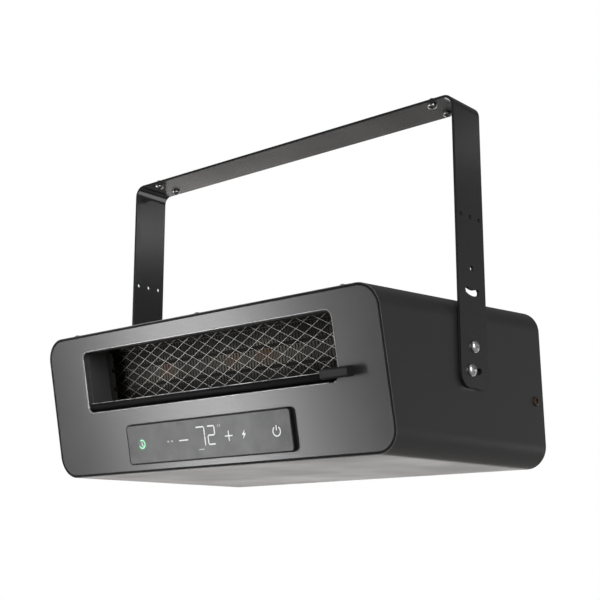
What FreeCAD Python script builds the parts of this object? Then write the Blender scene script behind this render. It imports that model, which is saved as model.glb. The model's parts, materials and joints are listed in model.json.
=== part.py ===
import FreeCAD, Part
import math
import os

from FreeCAD import Placement, Rotation, Vector

# Fan heater that hangs under a ceiling in a tilting U-shaped strap.
# Millimetres and degrees. +X is the viewer's right, -Y the front, +Z up.
# The origin is the middle of the strap's top face, which lies against the ceiling.

# Fits shared by all pieces
overrun = 5.0            # how far every cutting tool runs past what it cuts
fit_gap = 0.3            # slip fit between pieces that push together
running_gap = 0.1        # play between faces that turn against each other
shaft_clearance = 0.05   # radial play of a pin, shaft or screw in its hole
same_place = 0.01        # points nearer than this are the same point
parallel_share = 0.99    # cosine above which an edge counts as running along an axis
head_top_share = 0.6     # a pan head's flat top, as a part of its diameter
head_rim_share = 0.4     # a pan head's straight rim, as a part of its height

# Housing sleeve: a wrapped shell, taller at the rear, with a front that leans out at the top
housing_width = 488.0
front_height = 160.5
rear_height = 176.0
housing_depth = 302.0        # front top edge to rear edge
corner_radius = 25.0
wall = 2.0
front_slant = 9.5
housing_tilt = 2.2           # nose down, as it hangs at rest
pivot_setback = 158.5        # front top edge to the tilt axis
pivot_above_middle = 31.4    # tilt axis above the housing's middle plane

# Strap: bent flat bar, with a second pivot hole and arc slot for hanging the housing higher
strap_width = 50.0
strap_thickness = 3.0
bend_radius = 10.0
pivot_drop = 270.0           # ceiling to tilt axis
leg_below_pivot = 43.0
leg_end_radius = 15.0
upper_pivot_rise = 82.5      # from the pivot in use up to the spare one
row_hole_count = 3
row_hole_diameter = 5.0
row_hole_pitch = 17.0
row_hole_drop = 132.0
slot_radius = 26.0
slot_half_sweep = 22.0       # swept by a bolt's centre each side of the slot's middle
slot_clearance = 0.3
lock_rest_angle = 15.0       # lock bolt's place in the slot at rest, towards the front

# Ceiling screws: pan heads under the bar, ends standing up into a ceiling plate
ceiling_screw_diameter = 6.0
ceiling_screw_clearance = 0.3
ceiling_screw_stand = 4.5
ceiling_neck_diameter = 5.4  # waist inside the strap, under the standing end
ceiling_head_diameter = 11.0
ceiling_head_height = 4.0
ceiling_screw_inset = 33.5   # from a leg's outer face
ceiling_row_spacing = 30.0

# Tilt bolts and what they pass through
bolt_diameter = 6.0
bolt_head_diameter = 12.6
bolt_head_height = 4.6
bolt_tip = 2.0               # past the nut plate
washer_thickness = 0.9
washer_diameter = 16.0
nut_plate_thickness = 4.0
nut_plate_margin = 14.0
nut_plate_chamfer = 5.0

# Front panel: a shallow folded pan set into the sleeve's mouth
panel_gap = 1.0
panel_sheet = 1.5
panel_flange = 36.0
outlet_side_margin = 60.0
outlet_top_margin = 21.2
outlet_corner = 8.0
outlet_chamfer = 1.0
outlet_to_control = 18.8

# Air duct behind the outlet
duct_step = 1.0              # the duct's mouth is this much wider than the outlet on each side
duct_mouth_depth = 9.0       # panel's front face to the step where the duct narrows again
duct_wall = 2.0
duct_corner = 2.0
duct_depth = 36.0
duct_lip_side = 10.0
duct_lip_edge = 4.0
duct_lip_thickness = 1.5

# Guard: expanded diamond mesh, cut flat
mesh_thickness = 0.8
mesh_strand = 0.8
mesh_columns = 17
mesh_rows = 6

# Heating core: flat bars with folded fins between them, held by two end caps in a sheet frame
core_depth = 24.0
core_frame_sheet = 1.5
core_frame_lip = 3.0
fin_rows = 3
fin_pitch = 6.0
fin_sheet_height = 2.0       # the folded sheet measured straight up through its slope
fin_seat_gap = 0.1
bar_thickness = 4.5
cap_width = 10.0
cap_pocket = 4.0
core_screw_diameter = 3.0
core_screw_head = 6.0
core_screw_head_height = 2.2
core_screw_row_share = 0.5   # screw rows, as a part of the core's half height
cutout_diameter = 17.0
cutout_height = 9.0
cutout_plate_length = 26.0
cutout_plate_thickness = 1.0

# Louver: a teardrop blade that turns on two pins near the outlet's lower edge
louver_nose_radius = 5.0
louver_tail_thickness = 1.5
louver_tail_reach = 24.0     # axis to tail
louver_axis_depth = 6.8      # behind the panel's front face
louver_axis_rise = 5.8       # above the outlet's lower edge
louver_end_gap = 1.0
louver_pin_diameter = 4.0
louver_pin_bore = 6.0
knob_length = 35.0
knob_size = 10.5
knob_rounding = 2.4
knob_bevel = 2.2
knob_forward = 14.8          # knob's middle in front of the louver axis
knob_rise = 2.5
knob_overhang = 21.0         # past the outlet's right edge
neck_length = 5.5
neck_height = 3.4

# Control unit: a bezel that stands proud of the panel and holds a touch plate
control_width = 242.0
control_height = 44.8
control_corner = 5.0
control_proud = 4.0
control_bottom_margin = 9.4
bezel_wall = 1.6
bezel_ledge = 2.0
bezel_depth = 9.0
bezel_lip = 4.0
bezel_lip_thickness = 1.5
touch_thickness = 2.0
control_board_thickness = 1.6
display_width = 62.0
display_height = 26.0

# Rear panel: a folded pan with the air intake
rear_sheet = 1.5
rear_flange = 24.0
intake_columns = 3
intake_rows = 11
intake_slot_length = 90.0
intake_slot_height = 4.0
intake_corner = 1.2
intake_column_pitch = 100.0
intake_row_pitch = 9.5

# Fan: baffle with a collar, motor on a four-legged bracket, impeller on the motor's shaft
rear_chamber = 42.0          # rear edge to the baffle
baffle_sheet = 1.5
baffle_flange = 12.0
orifice_margin = 14.0        # housing wall to the collar's bore
collar_depth = 22.0
collar_wall = 1.5
tip_gap = 3.0
hub_diameter = 46.0
hub_wall = 2.0
hub_boss_diameter = 16.0
hub_back = 1.0               # hub's rear face in front of the baffle's rear face
blade_count = 7
blade_root_chord = 24.0
blade_tip_chord = 34.0
blade_root_pitch = 42.0
blade_tip_pitch = 26.0
blade_thickness = 2.2
blade_camber = 3.0
blade_station_shares = (-0.5, -0.2, 0.2, 0.5)
blade_root_sink = 1.0
shaft_diameter = 8.0
motor_gap = 8.0              # collar to motor
motor_diameter = 64.0
motor_depth = 34.0
motor_chamfer = 4.0
motor_boss_diameter = 22.0
motor_boss_depth = 5.0
motor_ring_wall = 4.0
motor_ring_depth = 10.0
motor_arm_width = 12.0
motor_arm_thickness = 4.0
motor_leg_outset = 8.0       # collar's outside to the legs

# Supply side: relay board on the baffle, terminals and cable gland on the rear panel
board_width = 110.0
board_height = 86.0
board_thickness = 1.6
board_side_gap = 30.0        # housing wall to the board
standoff_flats = 6.0
standoff_height = 8.0
standoff_inset = 6.0
relay_count = 3
relay_width = 18.0
relay_height = 30.0
relay_depth = 16.0
relay_pitch = 30.0
terminal_width = 48.0
terminal_height = 20.0
terminal_depth = 18.0
terminal_poles = 4
terminal_pole_width = 8.0
terminal_pole_depth = 6.0
terminal_rise = 24.0
terminal_inset = 46.0
gland_bore = 9.0
gland_thread = 16.0
gland_flats = 22.0
gland_flange_thickness = 4.0
gland_cap_diameter = 20.0
gland_cap_length = 11.0
gland_cap_chamfer = 4.0
gland_nut_thickness = 4.0
gland_inset = 46.0
gland_drop = 52.0

# Housing screws
top_screw_diameter = 4.0
top_screw_head = 7.5
top_screw_head_height = 2.6
top_screw_grip = 8.0
top_screw_setback = 8.0
top_screw_spacing = 198.0
side_screw_diameter = 5.0
side_screw_head = 10.5
side_screw_head_height = 2.0
side_screw_grip = 8.0
side_screw_inset = 17.0      # from the rear edge
side_screw_drop = 15.6       # below the housing's middle plane

# Worked out from the sizes above
x_axis = Vector(1, 0, 0)
y_axis = Vector(0, 1, 0)
z_axis = Vector(0, 0, 1)
half_width = housing_width / 2
side_gap = washer_thickness + running_gap
leg_inner = half_width + side_gap
leg_outer = leg_inner + strap_thickness
leg_length = pivot_drop + leg_below_pivot
slot_width = bolt_diameter + 2 * slot_clearance
middle_z = -pivot_above_middle
front_y = -pivot_setback
rear_y = housing_depth - pivot_setback
taper = math.atan((rear_height - front_height) / 2 / housing_depth)
lean = math.radians(front_slant)
baffle_y = rear_y - rear_chamber
lock_angle = math.radians(lock_rest_angle + housing_tilt)
lock_y = -slot_radius * math.sin(lock_angle)
lock_z = -slot_radius * math.cos(lock_angle)


def half_height_at(y):
    """Half the housing's height at a depth in the housing's own frame."""
    return front_height / 2 + (y - front_y) * math.tan(taper)


def front_corner(side, inset, front_inset):
    """Where the slanted front meets the top (side 1) or bottom (side -1) wall, both moved in."""
    rise = math.tan(taper)
    run = math.tan(lean)
    set_in = inset / math.cos(taper)
    set_back = front_inset / math.cos(lean)
    half = front_height / 2
    z = side * (half + rise * (half * run + set_back) - set_in) / (1 + side * rise * run)
    y = (half - z) * run + set_back
    return front_y + y, middle_z + z


face_length = (front_corner(1, 0, 0)[1] - front_corner(-1, 0, 0)[1]) / math.cos(lean)
outlet_width = housing_width - 2 * outlet_side_margin
control_top = -face_length + control_bottom_margin + control_height
outlet_top = -outlet_top_margin
outlet_bottom = control_top + outlet_to_control
outlet_height = outlet_top - outlet_bottom
outlet_middle = (outlet_top + outlet_bottom) / 2
control_middle = control_top - control_height / 2
core_width = outlet_width + 2 * duct_step
core_height = outlet_height + 2 * duct_step
mesh_back = duct_depth + mesh_thickness
core_front = mesh_back + fit_gap
core_back = core_front + core_depth
fin_height = (core_height - (fin_rows + 1) * bar_thickness) / fin_rows
louver_axis_z = outlet_bottom + louver_axis_rise
blade_half_length = outlet_width / 2 - louver_end_gap
orifice_radius = half_height_at(baffle_y) - orifice_margin
impeller_radius = orifice_radius - tip_gap
collar_front = baffle_y - collar_depth
motor_back = collar_front - motor_gap
motor_front = motor_back - motor_depth

# The housing's frame has its origin on the tilt axis, the face's frame at the front top edge.
# In the face's frame +Y runs straight into the panel and -Z down along it.
housing_place = Placement(Vector(0, 0, -pivot_drop), Rotation(x_axis, housing_tilt))
face_in_housing = Placement(Vector(0, front_y, front_height / 2 + middle_z), Rotation(x_axis, front_slant))
face_place = housing_place.multiply(face_in_housing)


def moved(shape, placement):
    result = shape.copy()
    result.Placement = placement.multiply(result.Placement)
    return result


def box(low, high):
    size = high - low
    return Part.makeBox(size.x, size.y, size.z, low)


def rod(diameter, start, run):
    """Round bar from start, as long and in the direction of run."""
    return Part.makeCylinder(diameter / 2, run.Length, start, run)


def edges_along(shape, axis):
    found = []
    for edge in shape.Edges:
        run = edge.Vertexes[-1].Point - edge.Vertexes[0].Point
        if run.Length > same_place and abs(run.normalize().dot(axis)) > parallel_share:
            found.append(edge)
    return found


def round_edges(shape, radius, axis):
    return shape.makeFillet(radius, edges_along(shape, axis))


def rounded_slab(width, height, radius, middle, y_low, y_high):
    """Rounded rectangle seen from the front, its middle at (x, z), run from y_low to y_high."""
    low = Vector(middle[0] - width / 2, y_low, middle[1] - height / 2)
    high = Vector(middle[0] + width / 2, y_high, middle[1] + height / 2)
    return round_edges(box(low, high), radius, y_axis)


def mirrored(shape):
    return shape.mirror(Vector(0, 0, 0), x_axis)


def both_sides(shape):
    """A piece on the right-hand side and its mirror image on the left."""
    return Part.makeCompound([shape, mirrored(shape)])


def pan_screw(diameter, length, head_diameter, head_height, seat, direction, waist=()):
    """Screw whose head rests on seat and whose shank points along direction, turned from one profile.

    waist lists (radius, along) corners of a thinner part under the head.
    """
    rim = head_height * head_rim_share
    profile = [(0, -head_height), (head_diameter / 2 * head_top_share, -head_height),
               (head_diameter / 2, -rim), (head_diameter / 2, 0)]
    profile += list(waist) or [(diameter / 2, 0)]
    profile += [(diameter / 2, length), (0, length)]
    points = [Vector(radius, 0, along) for radius, along in profile]
    screw = Part.Face(Part.makePolygon(points + points[:1])).revolve(Vector(0, 0, 0), z_axis, 360)
    return moved(screw, Placement(seat, Rotation(z_axis, direction)))


def prism(sides, across_flats, start, run):
    """Regular bar with flat sides, such as a hexagon nut, from start along run (parallel to Y)."""
    radius = across_flats / 2 / math.cos(math.pi / sides)
    turns = [2 * math.pi * step / sides for step in range(sides + 1)]
    points = [start + Vector(radius * math.cos(turn), 0, radius * math.sin(turn)) for turn in turns]
    return Part.Face(Part.makePolygon(points)).extrude(run)


def block(inset, front_inset, rear_inset):
    """The housing's form with its long walls moved in by inset and its ends by their own insets."""
    back_y = rear_y - rear_inset
    back_half = half_height_at(back_y) - inset / math.cos(taper)
    top_y, top_z = front_corner(1, inset, front_inset)
    low_y, low_z = front_corner(-1, inset, front_inset)
    side = half_width - inset
    corners = [Vector(-side, top_y, top_z), Vector(-side, back_y, middle_z + back_half),
               Vector(-side, back_y, middle_z - back_half), Vector(-side, low_y, low_z)]
    outline = Part.makePolygon(corners + corners[:1])
    solid = Part.Face(outline).extrude(Vector(2 * side, 0, 0))
    return round_edges(solid, corner_radius - inset, y_axis)


def arc_slot(pivot_z):
    """Cutting tool for one arc slot below a pivot hole, through the right-hand leg."""
    half = slot_width / 2
    sweep = math.radians(slot_half_sweep)
    x = leg_inner - overrun

    def point(radius, angle):
        return Vector(x, radius * math.sin(angle), pivot_z - radius * math.cos(angle))

    def end_cap(side):
        middle = point(slot_radius, side * sweep)
        tip = middle + Vector(0, side * half * math.cos(sweep), half * math.sin(sweep))
        return tip

    outer = slot_radius + half
    inner = slot_radius - half
    edges = [Part.Arc(point(outer, -sweep), point(outer, 0), point(outer, sweep)).toShape(),
             Part.Arc(point(outer, sweep), end_cap(1), point(inner, sweep)).toShape(),
             Part.Arc(point(inner, sweep), point(inner, 0), point(inner, -sweep)).toShape(),
             Part.Arc(point(inner, -sweep), end_cap(-1), point(outer, -sweep)).toShape()]
    return Part.Face(Part.Wire(edges)).extrude(Vector(strap_thickness + 2 * overrun, 0, 0))


def ceiling_points():
    x = leg_outer - ceiling_screw_inset
    y = ceiling_row_spacing / 2
    return [Vector(sx * x, sy * y, 0) for sx in (-1, 1) for sy in (-1, 1)]


def bracket_strap():
    half = strap_width / 2
    outer = box(Vector(-leg_outer, -half, -leg_length), Vector(leg_outer, half, 0))
    outer = outer.makeFillet(bend_radius + strap_thickness,
                             [edge for edge in edges_along(outer, y_axis)
                              if edge.Vertexes[0].Point.z > -same_place])
    inner = box(Vector(-leg_inner, -half - overrun, -leg_length - overrun),
                Vector(leg_inner, half + overrun, -strap_thickness))
    inner = inner.makeFillet(bend_radius, [edge for edge in edges_along(inner, y_axis)
                                           if edge.Vertexes[0].Point.z > -leg_length])
    strap = outer.cut(inner)
    ends = [edge for edge in edges_along(strap, x_axis)
            if edge.Vertexes[0].Point.z < -leg_length + same_place]
    strap = strap.makeFillet(leg_end_radius, ends)
    through = Vector(strap_thickness + 2 * overrun, 0, 0)
    start_x = leg_inner - overrun
    tools = []
    for pivot_z in (-pivot_drop, -pivot_drop + upper_pivot_rise):
        tools.append(rod(bolt_diameter + 2 * shaft_clearance, Vector(start_x, 0, pivot_z), through))
        tools.append(arc_slot(pivot_z))
    for step in range(row_hole_count):
        y = (step - (row_hole_count - 1) / 2) * row_hole_pitch
        tools.append(rod(row_hole_diameter, Vector(start_x, y, -row_hole_drop), through))
    for tool in tools:
        strap = strap.cut(tool).cut(mirrored(tool))
    hole = ceiling_screw_diameter + 2 * ceiling_screw_clearance
    for point in ceiling_points():
        start = point - z_axis * (strap_thickness + overrun)
        strap = strap.cut(rod(hole, start, z_axis * (strap_thickness + 2 * overrun)))
    return strap


def ceiling_screws():
    length = strap_thickness + ceiling_screw_stand
    seats = [point - z_axis * strap_thickness for point in ceiling_points()]
    neck = ceiling_neck_diameter / 2
    waist = [(neck, 0), (neck, strap_thickness), (ceiling_screw_diameter / 2, strap_thickness)]
    return Part.makeCompound([pan_screw(ceiling_screw_diameter, length, ceiling_head_diameter,
                                        ceiling_head_height, seat, z_axis, waist) for seat in seats])


def bolt_places():
    """Pivot and lock bolt on the right-hand side, as (y, z) in the housing's frame."""
    return [(0, 0), (lock_y, lock_z)]


def tilt_bolts(place):
    seat = Vector(leg_outer + running_gap, place[0], place[1])
    length = seat.x - half_width + wall + nut_plate_thickness + bolt_tip
    return both_sides(pan_screw(bolt_diameter, length, bolt_head_diameter, bolt_head_height,
                                seat, x_axis.negative()))


def spacer_washers():
    rings = []
    for y, z in bolt_places():
        start = Vector(half_width, y, z)
        hole = rod(bolt_diameter + 2 * shaft_clearance, start - x_axis * overrun,
                   x_axis * (washer_thickness + 2 * overrun))
        ring = rod(washer_diameter, start, x_axis * washer_thickness).cut(hole)
        rings += [ring, mirrored(ring)]
    return Part.makeCompound(rings)


def bolt_holes(shape, x_low, x_high, clearance):
    for y, z in bolt_places():
        tool = rod(bolt_diameter + 2 * clearance, Vector(x_low - overrun, y, z),
                   x_axis * (x_high - x_low + 2 * overrun))
        shape = shape.cut(tool)
    return shape


def nut_plates():
    x_high = half_width - wall
    x_low = x_high - nut_plate_thickness
    low = Vector(x_low, lock_y - nut_plate_margin, lock_z - nut_plate_margin)
    high = Vector(x_high, nut_plate_margin, nut_plate_margin)
    plate = box(low, high)
    plate = plate.makeChamfer(nut_plate_chamfer, edges_along(plate, x_axis))
    return both_sides(bolt_holes(plate, x_low, x_high, shaft_clearance))


def top_screw_seats():
    """Screw seats on the top wall: a row behind the front edge and a row at the rear flange."""
    seats = []
    for y in (front_y + top_screw_setback, rear_y - rear_flange / 2):
        for step in (-1, 0, 1):
            seats.append(Vector(step * top_screw_spacing, y, middle_z + half_height_at(y)))
    return seats


def top_screw_direction():
    return Vector(0, math.sin(taper), -math.cos(taper))


def side_screw_seat():
    return Vector(half_width, rear_y - side_screw_inset, middle_z - side_screw_drop)


def screw_holes(shape):
    """Holes for the housing screws in the sleeve or in a pan's flange."""
    inward = top_screw_direction()
    for seat in top_screw_seats():
        tool = rod(top_screw_diameter + 2 * shaft_clearance, seat - inward * overrun,
                   inward * (top_screw_grip + 2 * overrun))
        shape = shape.cut(tool)
    tool = rod(side_screw_diameter + 2 * shaft_clearance, side_screw_seat() + x_axis * overrun,
               x_axis.negative() * (side_screw_grip + 2 * overrun))
    return shape.cut(tool).cut(mirrored(tool))


def housing_sleeve():
    sleeve = block(0, 0, 0).cut(block(wall, -overrun, -overrun))
    for y, z in bolt_places():
        tool = rod(bolt_diameter + 2 * shaft_clearance, Vector(half_width - wall - overrun, y, z),
                   x_axis * (wall + 2 * overrun))
        sleeve = sleeve.cut(tool).cut(mirrored(tool))
    return screw_holes(sleeve)


def top_screws():
    inward = top_screw_direction()
    return Part.makeCompound([pan_screw(top_screw_diameter, top_screw_grip, top_screw_head,
                                        top_screw_head_height, seat, inward)
                              for seat in top_screw_seats()])


def side_screws():
    return both_sides(pan_screw(side_screw_diameter, side_screw_grip, side_screw_head,
                                side_screw_head_height, side_screw_seat(), x_axis.negative()))


def face_slab(y_low, y_high):
    """A slab parallel to the front face that covers all of it, in the face's frame."""
    return box(Vector(-housing_width, y_low, -2 * face_length), Vector(housing_width, y_high, face_length))


def outlet_slab(grow, y_low, y_high):
    return rounded_slab(outlet_width + 2 * grow, outlet_height + 2 * grow, outlet_corner + grow,
                        (0, outlet_middle), y_low, y_high)


def duct_slab(grow, y_low, y_high):
    """The duct's section: the outlet's size with tighter corners, so that the louver's ends clear them."""
    return rounded_slab(outlet_width + 2 * grow, outlet_height + 2 * grow, duct_corner + grow,
                        (0, outlet_middle), y_low, y_high)


def outlet_lip(y_low, y_high):
    """The flange outline that the duct, the guard and the core's frame share."""
    width = core_width + 2 * (duct_wall + duct_lip_side)
    height = outlet_height + 2 * (duct_step + duct_wall + duct_lip_edge)
    return rounded_slab(width, height, outlet_corner, (0, outlet_middle), y_low, y_high)


def control_slab(grow, y_low, y_high):
    return rounded_slab(control_width + 2 * grow, control_height + 2 * grow, control_corner + grow,
                        (0, control_middle), y_low, y_high)


def front_panel():
    """Folded pan in the sleeve's mouth, in the face's frame, with the outlet and control openings."""
    inset = wall + panel_gap
    to_face = face_in_housing.inverse()
    pan = block(inset, 0, 0).cut(block(inset + panel_sheet, panel_sheet, 0))
    pan = moved(screw_holes(pan), to_face).common(face_slab(0, panel_flange))
    pan = pan.cut(outlet_slab(0, -overrun, panel_sheet + overrun))
    pan = pan.cut(control_slab(fit_gap, -overrun, panel_sheet + overrun))
    rim = []
    for edge in pan.Edges:
        points = [vertex.Point for vertex in edge.Vertexes]
        in_front = all(abs(point.y) < same_place for point in points)
        at_outlet = all(abs(point.x) < outlet_width / 2 + same_place
                        and outlet_bottom - same_place < point.z < outlet_top + same_place
                        for point in points)
        if in_front and at_outlet:
            rim.append(edge)
    return pan.makeChamfer(outlet_chamfer, rim)


def outlet_frame():
    """Moulded duct from the panel's back to the guard, with holes for the louver's pins."""
    front = panel_sheet
    duct = duct_slab(duct_step + duct_wall, front, duct_depth)
    duct = duct.fuse(outlet_lip(front, front + duct_lip_thickness))
    duct = duct.fuse(outlet_lip(duct_depth - duct_lip_thickness, duct_depth)).removeSplitter()
    duct = duct.cut(duct_slab(duct_step, front - overrun, duct_mouth_depth))
    duct = duct.cut(duct_slab(0, front - overrun, duct_depth + overrun))
    start = Vector(core_width / 2 - duct_wall, louver_axis_depth, louver_axis_z)
    hole = rod(louver_pin_diameter + 2 * shaft_clearance, start, x_axis * (duct_wall * 2 + overrun))
    duct = duct.cut(hole).cut(mirrored(hole))
    return core_screw_holes(duct)


def core_screw_seats():
    x = core_width / 2 + duct_wall + duct_lip_side / 2
    z = core_height / 2 * core_screw_row_share
    y = mesh_back + core_frame_sheet
    return [Vector(sx * x, y, outlet_middle + sz * z) for sx in (-1, 1) for sz in (-1, 1)]


def core_screw_holes(shape):
    length = core_frame_sheet + mesh_thickness + duct_lip_thickness
    for seat in core_screw_seats():
        tool = rod(core_screw_diameter + 2 * shaft_clearance, seat + y_axis * overrun,
                   y_axis.negative() * (length + 2 * overrun))
        shape = shape.cut(tool)
    return shape


def core_screws():
    length = core_frame_sheet + mesh_thickness + duct_lip_thickness
    screws = []
    for seat in core_screw_seats():
        screws.append(pan_screw(core_screw_diameter, length, core_screw_head, core_screw_head_height,
                                seat, y_axis.negative()))
    return Part.makeCompound(screws)


def diamond(x, z, wide, tall, x_limit, z_limit):
    """One mesh gap, its corners cut off where the mesh ends at its border."""
    y = duct_depth
    left = max(x - wide, -x_limit)
    right = min(x + wide, x_limit)
    low = max(z - tall, -z_limit)
    high = min(z + tall, z_limit)
    corners = [(left, z), (x, low), (right, z), (x, high)]
    points = [Vector(px, y, outlet_middle + pz) for px, pz in corners]
    kept = [point for at, point in enumerate(points) if (point - points[at - 1]).Length > same_place]
    return Part.makePolygon(kept + kept[:1])


def mesh_guard():
    """Expanded mesh over the duct's end: one holed face with two interleaved grids of diamonds."""
    column = core_width / mesh_columns
    row = core_height / mesh_rows
    reach = column * row / 2 / math.hypot(column, row)
    open_share = 1 - mesh_strand / 2 / reach
    wide = column / 2 * open_share
    tall = row / 2 * open_share
    x_limit = core_width / 2
    z_limit = core_height / 2
    gaps = []
    for shift in (0, 1):
        for i in range(mesh_columns + 1 - shift):
            for j in range(mesh_rows + 1 - shift):
                x = -x_limit + (i + shift / 2) * column
                z = -z_limit + (j + shift / 2) * row
                gaps.append(diamond(x, z, wide, tall, x_limit, z_limit))
    border = outlet_lip(duct_depth, mesh_back)
    face = min(border.Faces, key=lambda f: f.CenterOfMass.y)
    net = Part.makeFace([face.OuterWire] + gaps, "Part::FaceMakerBullseye")
    return core_screw_holes(net.extrude(y_axis * mesh_thickness))


def core_box(grow, y_low, y_high):
    low = Vector(-core_width / 2 - grow, y_low, outlet_middle - core_height / 2 - grow)
    high = Vector(core_width / 2 + grow, y_high, outlet_middle + core_height / 2 + grow)
    return box(low, high)


def core_frame():
    """Folded sheet frame that clamps the guard to the duct and holds the core from behind."""
    back = core_back + fit_gap + core_frame_sheet
    frame = core_box(fit_gap + core_frame_sheet, mesh_back, back)
    frame = frame.fuse(outlet_lip(mesh_back, mesh_back + core_frame_sheet)).removeSplitter()
    frame = frame.cut(core_box(fit_gap, mesh_back - overrun, back - core_frame_sheet))
    frame = frame.cut(core_box(-core_frame_lip, mesh_back, back + overrun))
    return core_screw_holes(frame)


def bar_levels():
    """Lower face of each heating bar."""
    base = outlet_middle - core_height / 2
    return [base + step * (bar_thickness + fin_height) for step in range(fin_rows + 1)]


def heater_bars():
    half = core_width / 2 - cap_width + cap_pocket
    return Part.makeCompound([box(Vector(-half, core_front, z), Vector(half, core_back, z + bar_thickness))
                              for z in bar_levels()])


def core_end_caps():
    x_high = core_width / 2
    x_low = x_high - cap_width
    base = outlet_middle - core_height / 2
    cap = box(Vector(x_low, core_front, base), Vector(x_high, core_back, base + core_height))
    for z in bar_levels():
        pocket = box(Vector(x_low - overrun, core_front - overrun, z),
                     Vector(x_low + cap_pocket, core_back + overrun, z + bar_thickness))
        cap = cap.cut(pocket)
    return both_sides(cap)


def heater_fins():
    """Folded fin strips: a zigzag sheet between each pair of bars, seen as teeth from the front."""
    start = -core_width / 2 + cap_width + fin_seat_gap
    length = -2 * start
    folds = round(length / fin_pitch)
    pitch = length / folds
    strips = []
    for level in bar_levels()[:-1]:
        low = level + bar_thickness + fin_seat_gap
        high = low + fin_height - 2 * fin_seat_gap - fin_sheet_height
        path = []
        for step in range(2 * folds + 1):
            path.append(Vector(start + step * pitch / 2, core_front, high if step % 2 else low))
        over = [point + z_axis * fin_sheet_height for point in reversed(path)]
        outline = Part.makePolygon(path + over + path[:1])
        strips.append(Part.Face(outline).extrude(y_axis * core_depth))
    return Part.makeCompound(strips)


def thermal_cutout():
    """Disc thermostat on the right-hand end of the core's frame."""
    x = core_width / 2 + fit_gap + core_frame_sheet
    y = (core_front + core_back) / 2 + core_frame_sheet
    half_plate = cutout_plate_length / 2
    plate = box(Vector(x, y - cutout_diameter / 2, outlet_middle - half_plate),
                Vector(x + cutout_plate_thickness, y + cutout_diameter / 2, outlet_middle + half_plate))
    disc = rod(cutout_diameter, Vector(x, y, outlet_middle), x_axis * cutout_height)
    return plate.fuse(disc).removeSplitter()


def louver_blade():
    """Teardrop section along the outlet: round nose at the axis, thin tail in the duct."""
    y = louver_axis_depth
    z = louver_axis_z
    half_tail = louver_tail_thickness / 2
    x = -blade_half_length
    nose_top = Vector(x, y, z + louver_nose_radius)
    nose_front = Vector(x, y - louver_nose_radius, z)
    nose_low = Vector(x, y, z - louver_nose_radius)
    tail_low = Vector(x, y + louver_tail_reach, z - half_tail)
    tail_top = Vector(x, y + louver_tail_reach, z + half_tail)
    edges = [Part.Arc(nose_top, nose_front, nose_low).toShape(), Part.makeLine(nose_low, tail_low),
             Part.makeLine(tail_low, tail_top), Part.makeLine(tail_top, nose_top)]
    blade = Part.Face(Part.Wire(edges)).extrude(Vector(2 * blade_half_length, 0, 0))
    bore = rod(louver_pin_diameter + 2 * shaft_clearance,
               Vector(blade_half_length - louver_pin_bore, y, z), x_axis * (louver_pin_bore + overrun))
    return blade.cut(bore).cut(mirrored(bore))


def louver_pins():
    start = Vector(blade_half_length - louver_pin_bore, louver_axis_depth, louver_axis_z)
    length = louver_pin_bore + louver_end_gap + duct_step + duct_wall
    return both_sides(rod(louver_pin_diameter, start, x_axis * length))


def louver_knob():
    """Grip bar in front of the panel, with a neck back through the outlet to the blade's nose."""
    right = outlet_width / 2 + knob_overhang
    left = right - knob_length
    y = louver_axis_depth - knob_forward
    z = louver_axis_z + knob_rise
    half = knob_size / 2
    bar = box(Vector(left, y - half, z - half), Vector(right, y + half, z + half))
    bar = round_edges(bar, knob_rounding, x_axis)
    end = min(bar.Faces, key=lambda face: face.CenterOfMass.x)
    bar = bar.makeChamfer(knob_bevel, end.OuterWire.Edges)
    neck_left = left + knob_bevel
    neck = box(Vector(neck_left, y, z - knob_rise - neck_height / 2),
               Vector(neck_left + neck_length, louver_axis_depth, z - knob_rise + neck_height / 2))
    nose = rod(2 * louver_nose_radius, Vector(neck_left - overrun, louver_axis_depth, louver_axis_z),
               x_axis * (neck_length + 2 * overrun))
    return bar.fuse(neck).removeSplitter().cut(nose)


def control_bezel():
    """Raised frame through the panel, with a ledge for the touch plate and a lip behind the panel."""
    bezel = control_slab(0, -control_proud, bezel_depth)
    lip = control_slab(bezel_lip, panel_sheet, panel_sheet + bezel_lip_thickness)
    bezel = bezel.fuse(lip).removeSplitter()
    seat = touch_thickness - control_proud
    bezel = bezel.cut(control_slab(-bezel_wall, -control_proud - overrun, seat))
    return bezel.cut(control_slab(-bezel_wall - bezel_ledge, -control_proud, bezel_depth + overrun))


def touch_plate():
    return control_slab(-bezel_wall - shaft_clearance, -control_proud, touch_thickness - control_proud)


def control_board():
    return control_slab(-bezel_wall / 2, bezel_depth, bezel_depth + control_board_thickness)


def display_module():
    front = touch_thickness - control_proud + fit_gap
    low = Vector(-display_width / 2, front, control_middle - display_height / 2)
    high = Vector(display_width / 2, bezel_depth, control_middle + display_height / 2)
    return box(low, high)


def rear_panel():
    """Folded pan in the sleeve's rear mouth, with rows of intake slots and the gland's hole."""
    inset = wall + fit_gap
    low = Vector(-housing_width, rear_y - rear_flange, -rear_height - pivot_drop)
    high = Vector(housing_width, rear_y, rear_height)
    pan = block(inset, 0, 0).cut(block(inset + rear_sheet, 0, rear_sheet)).common(box(low, high))
    for column in range(intake_columns):
        x = (column - (intake_columns - 1) / 2) * intake_column_pitch
        for row in range(intake_rows):
            z = middle_z + (row - (intake_rows - 1) / 2) * intake_row_pitch
            pan = pan.cut(intake_slot(x, z))
    hole = rod(gland_thread + 2 * shaft_clearance, gland_point() - y_axis * (rear_sheet + overrun),
               y_axis * (rear_sheet + 2 * overrun))
    return screw_holes(pan).cut(hole)


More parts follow.
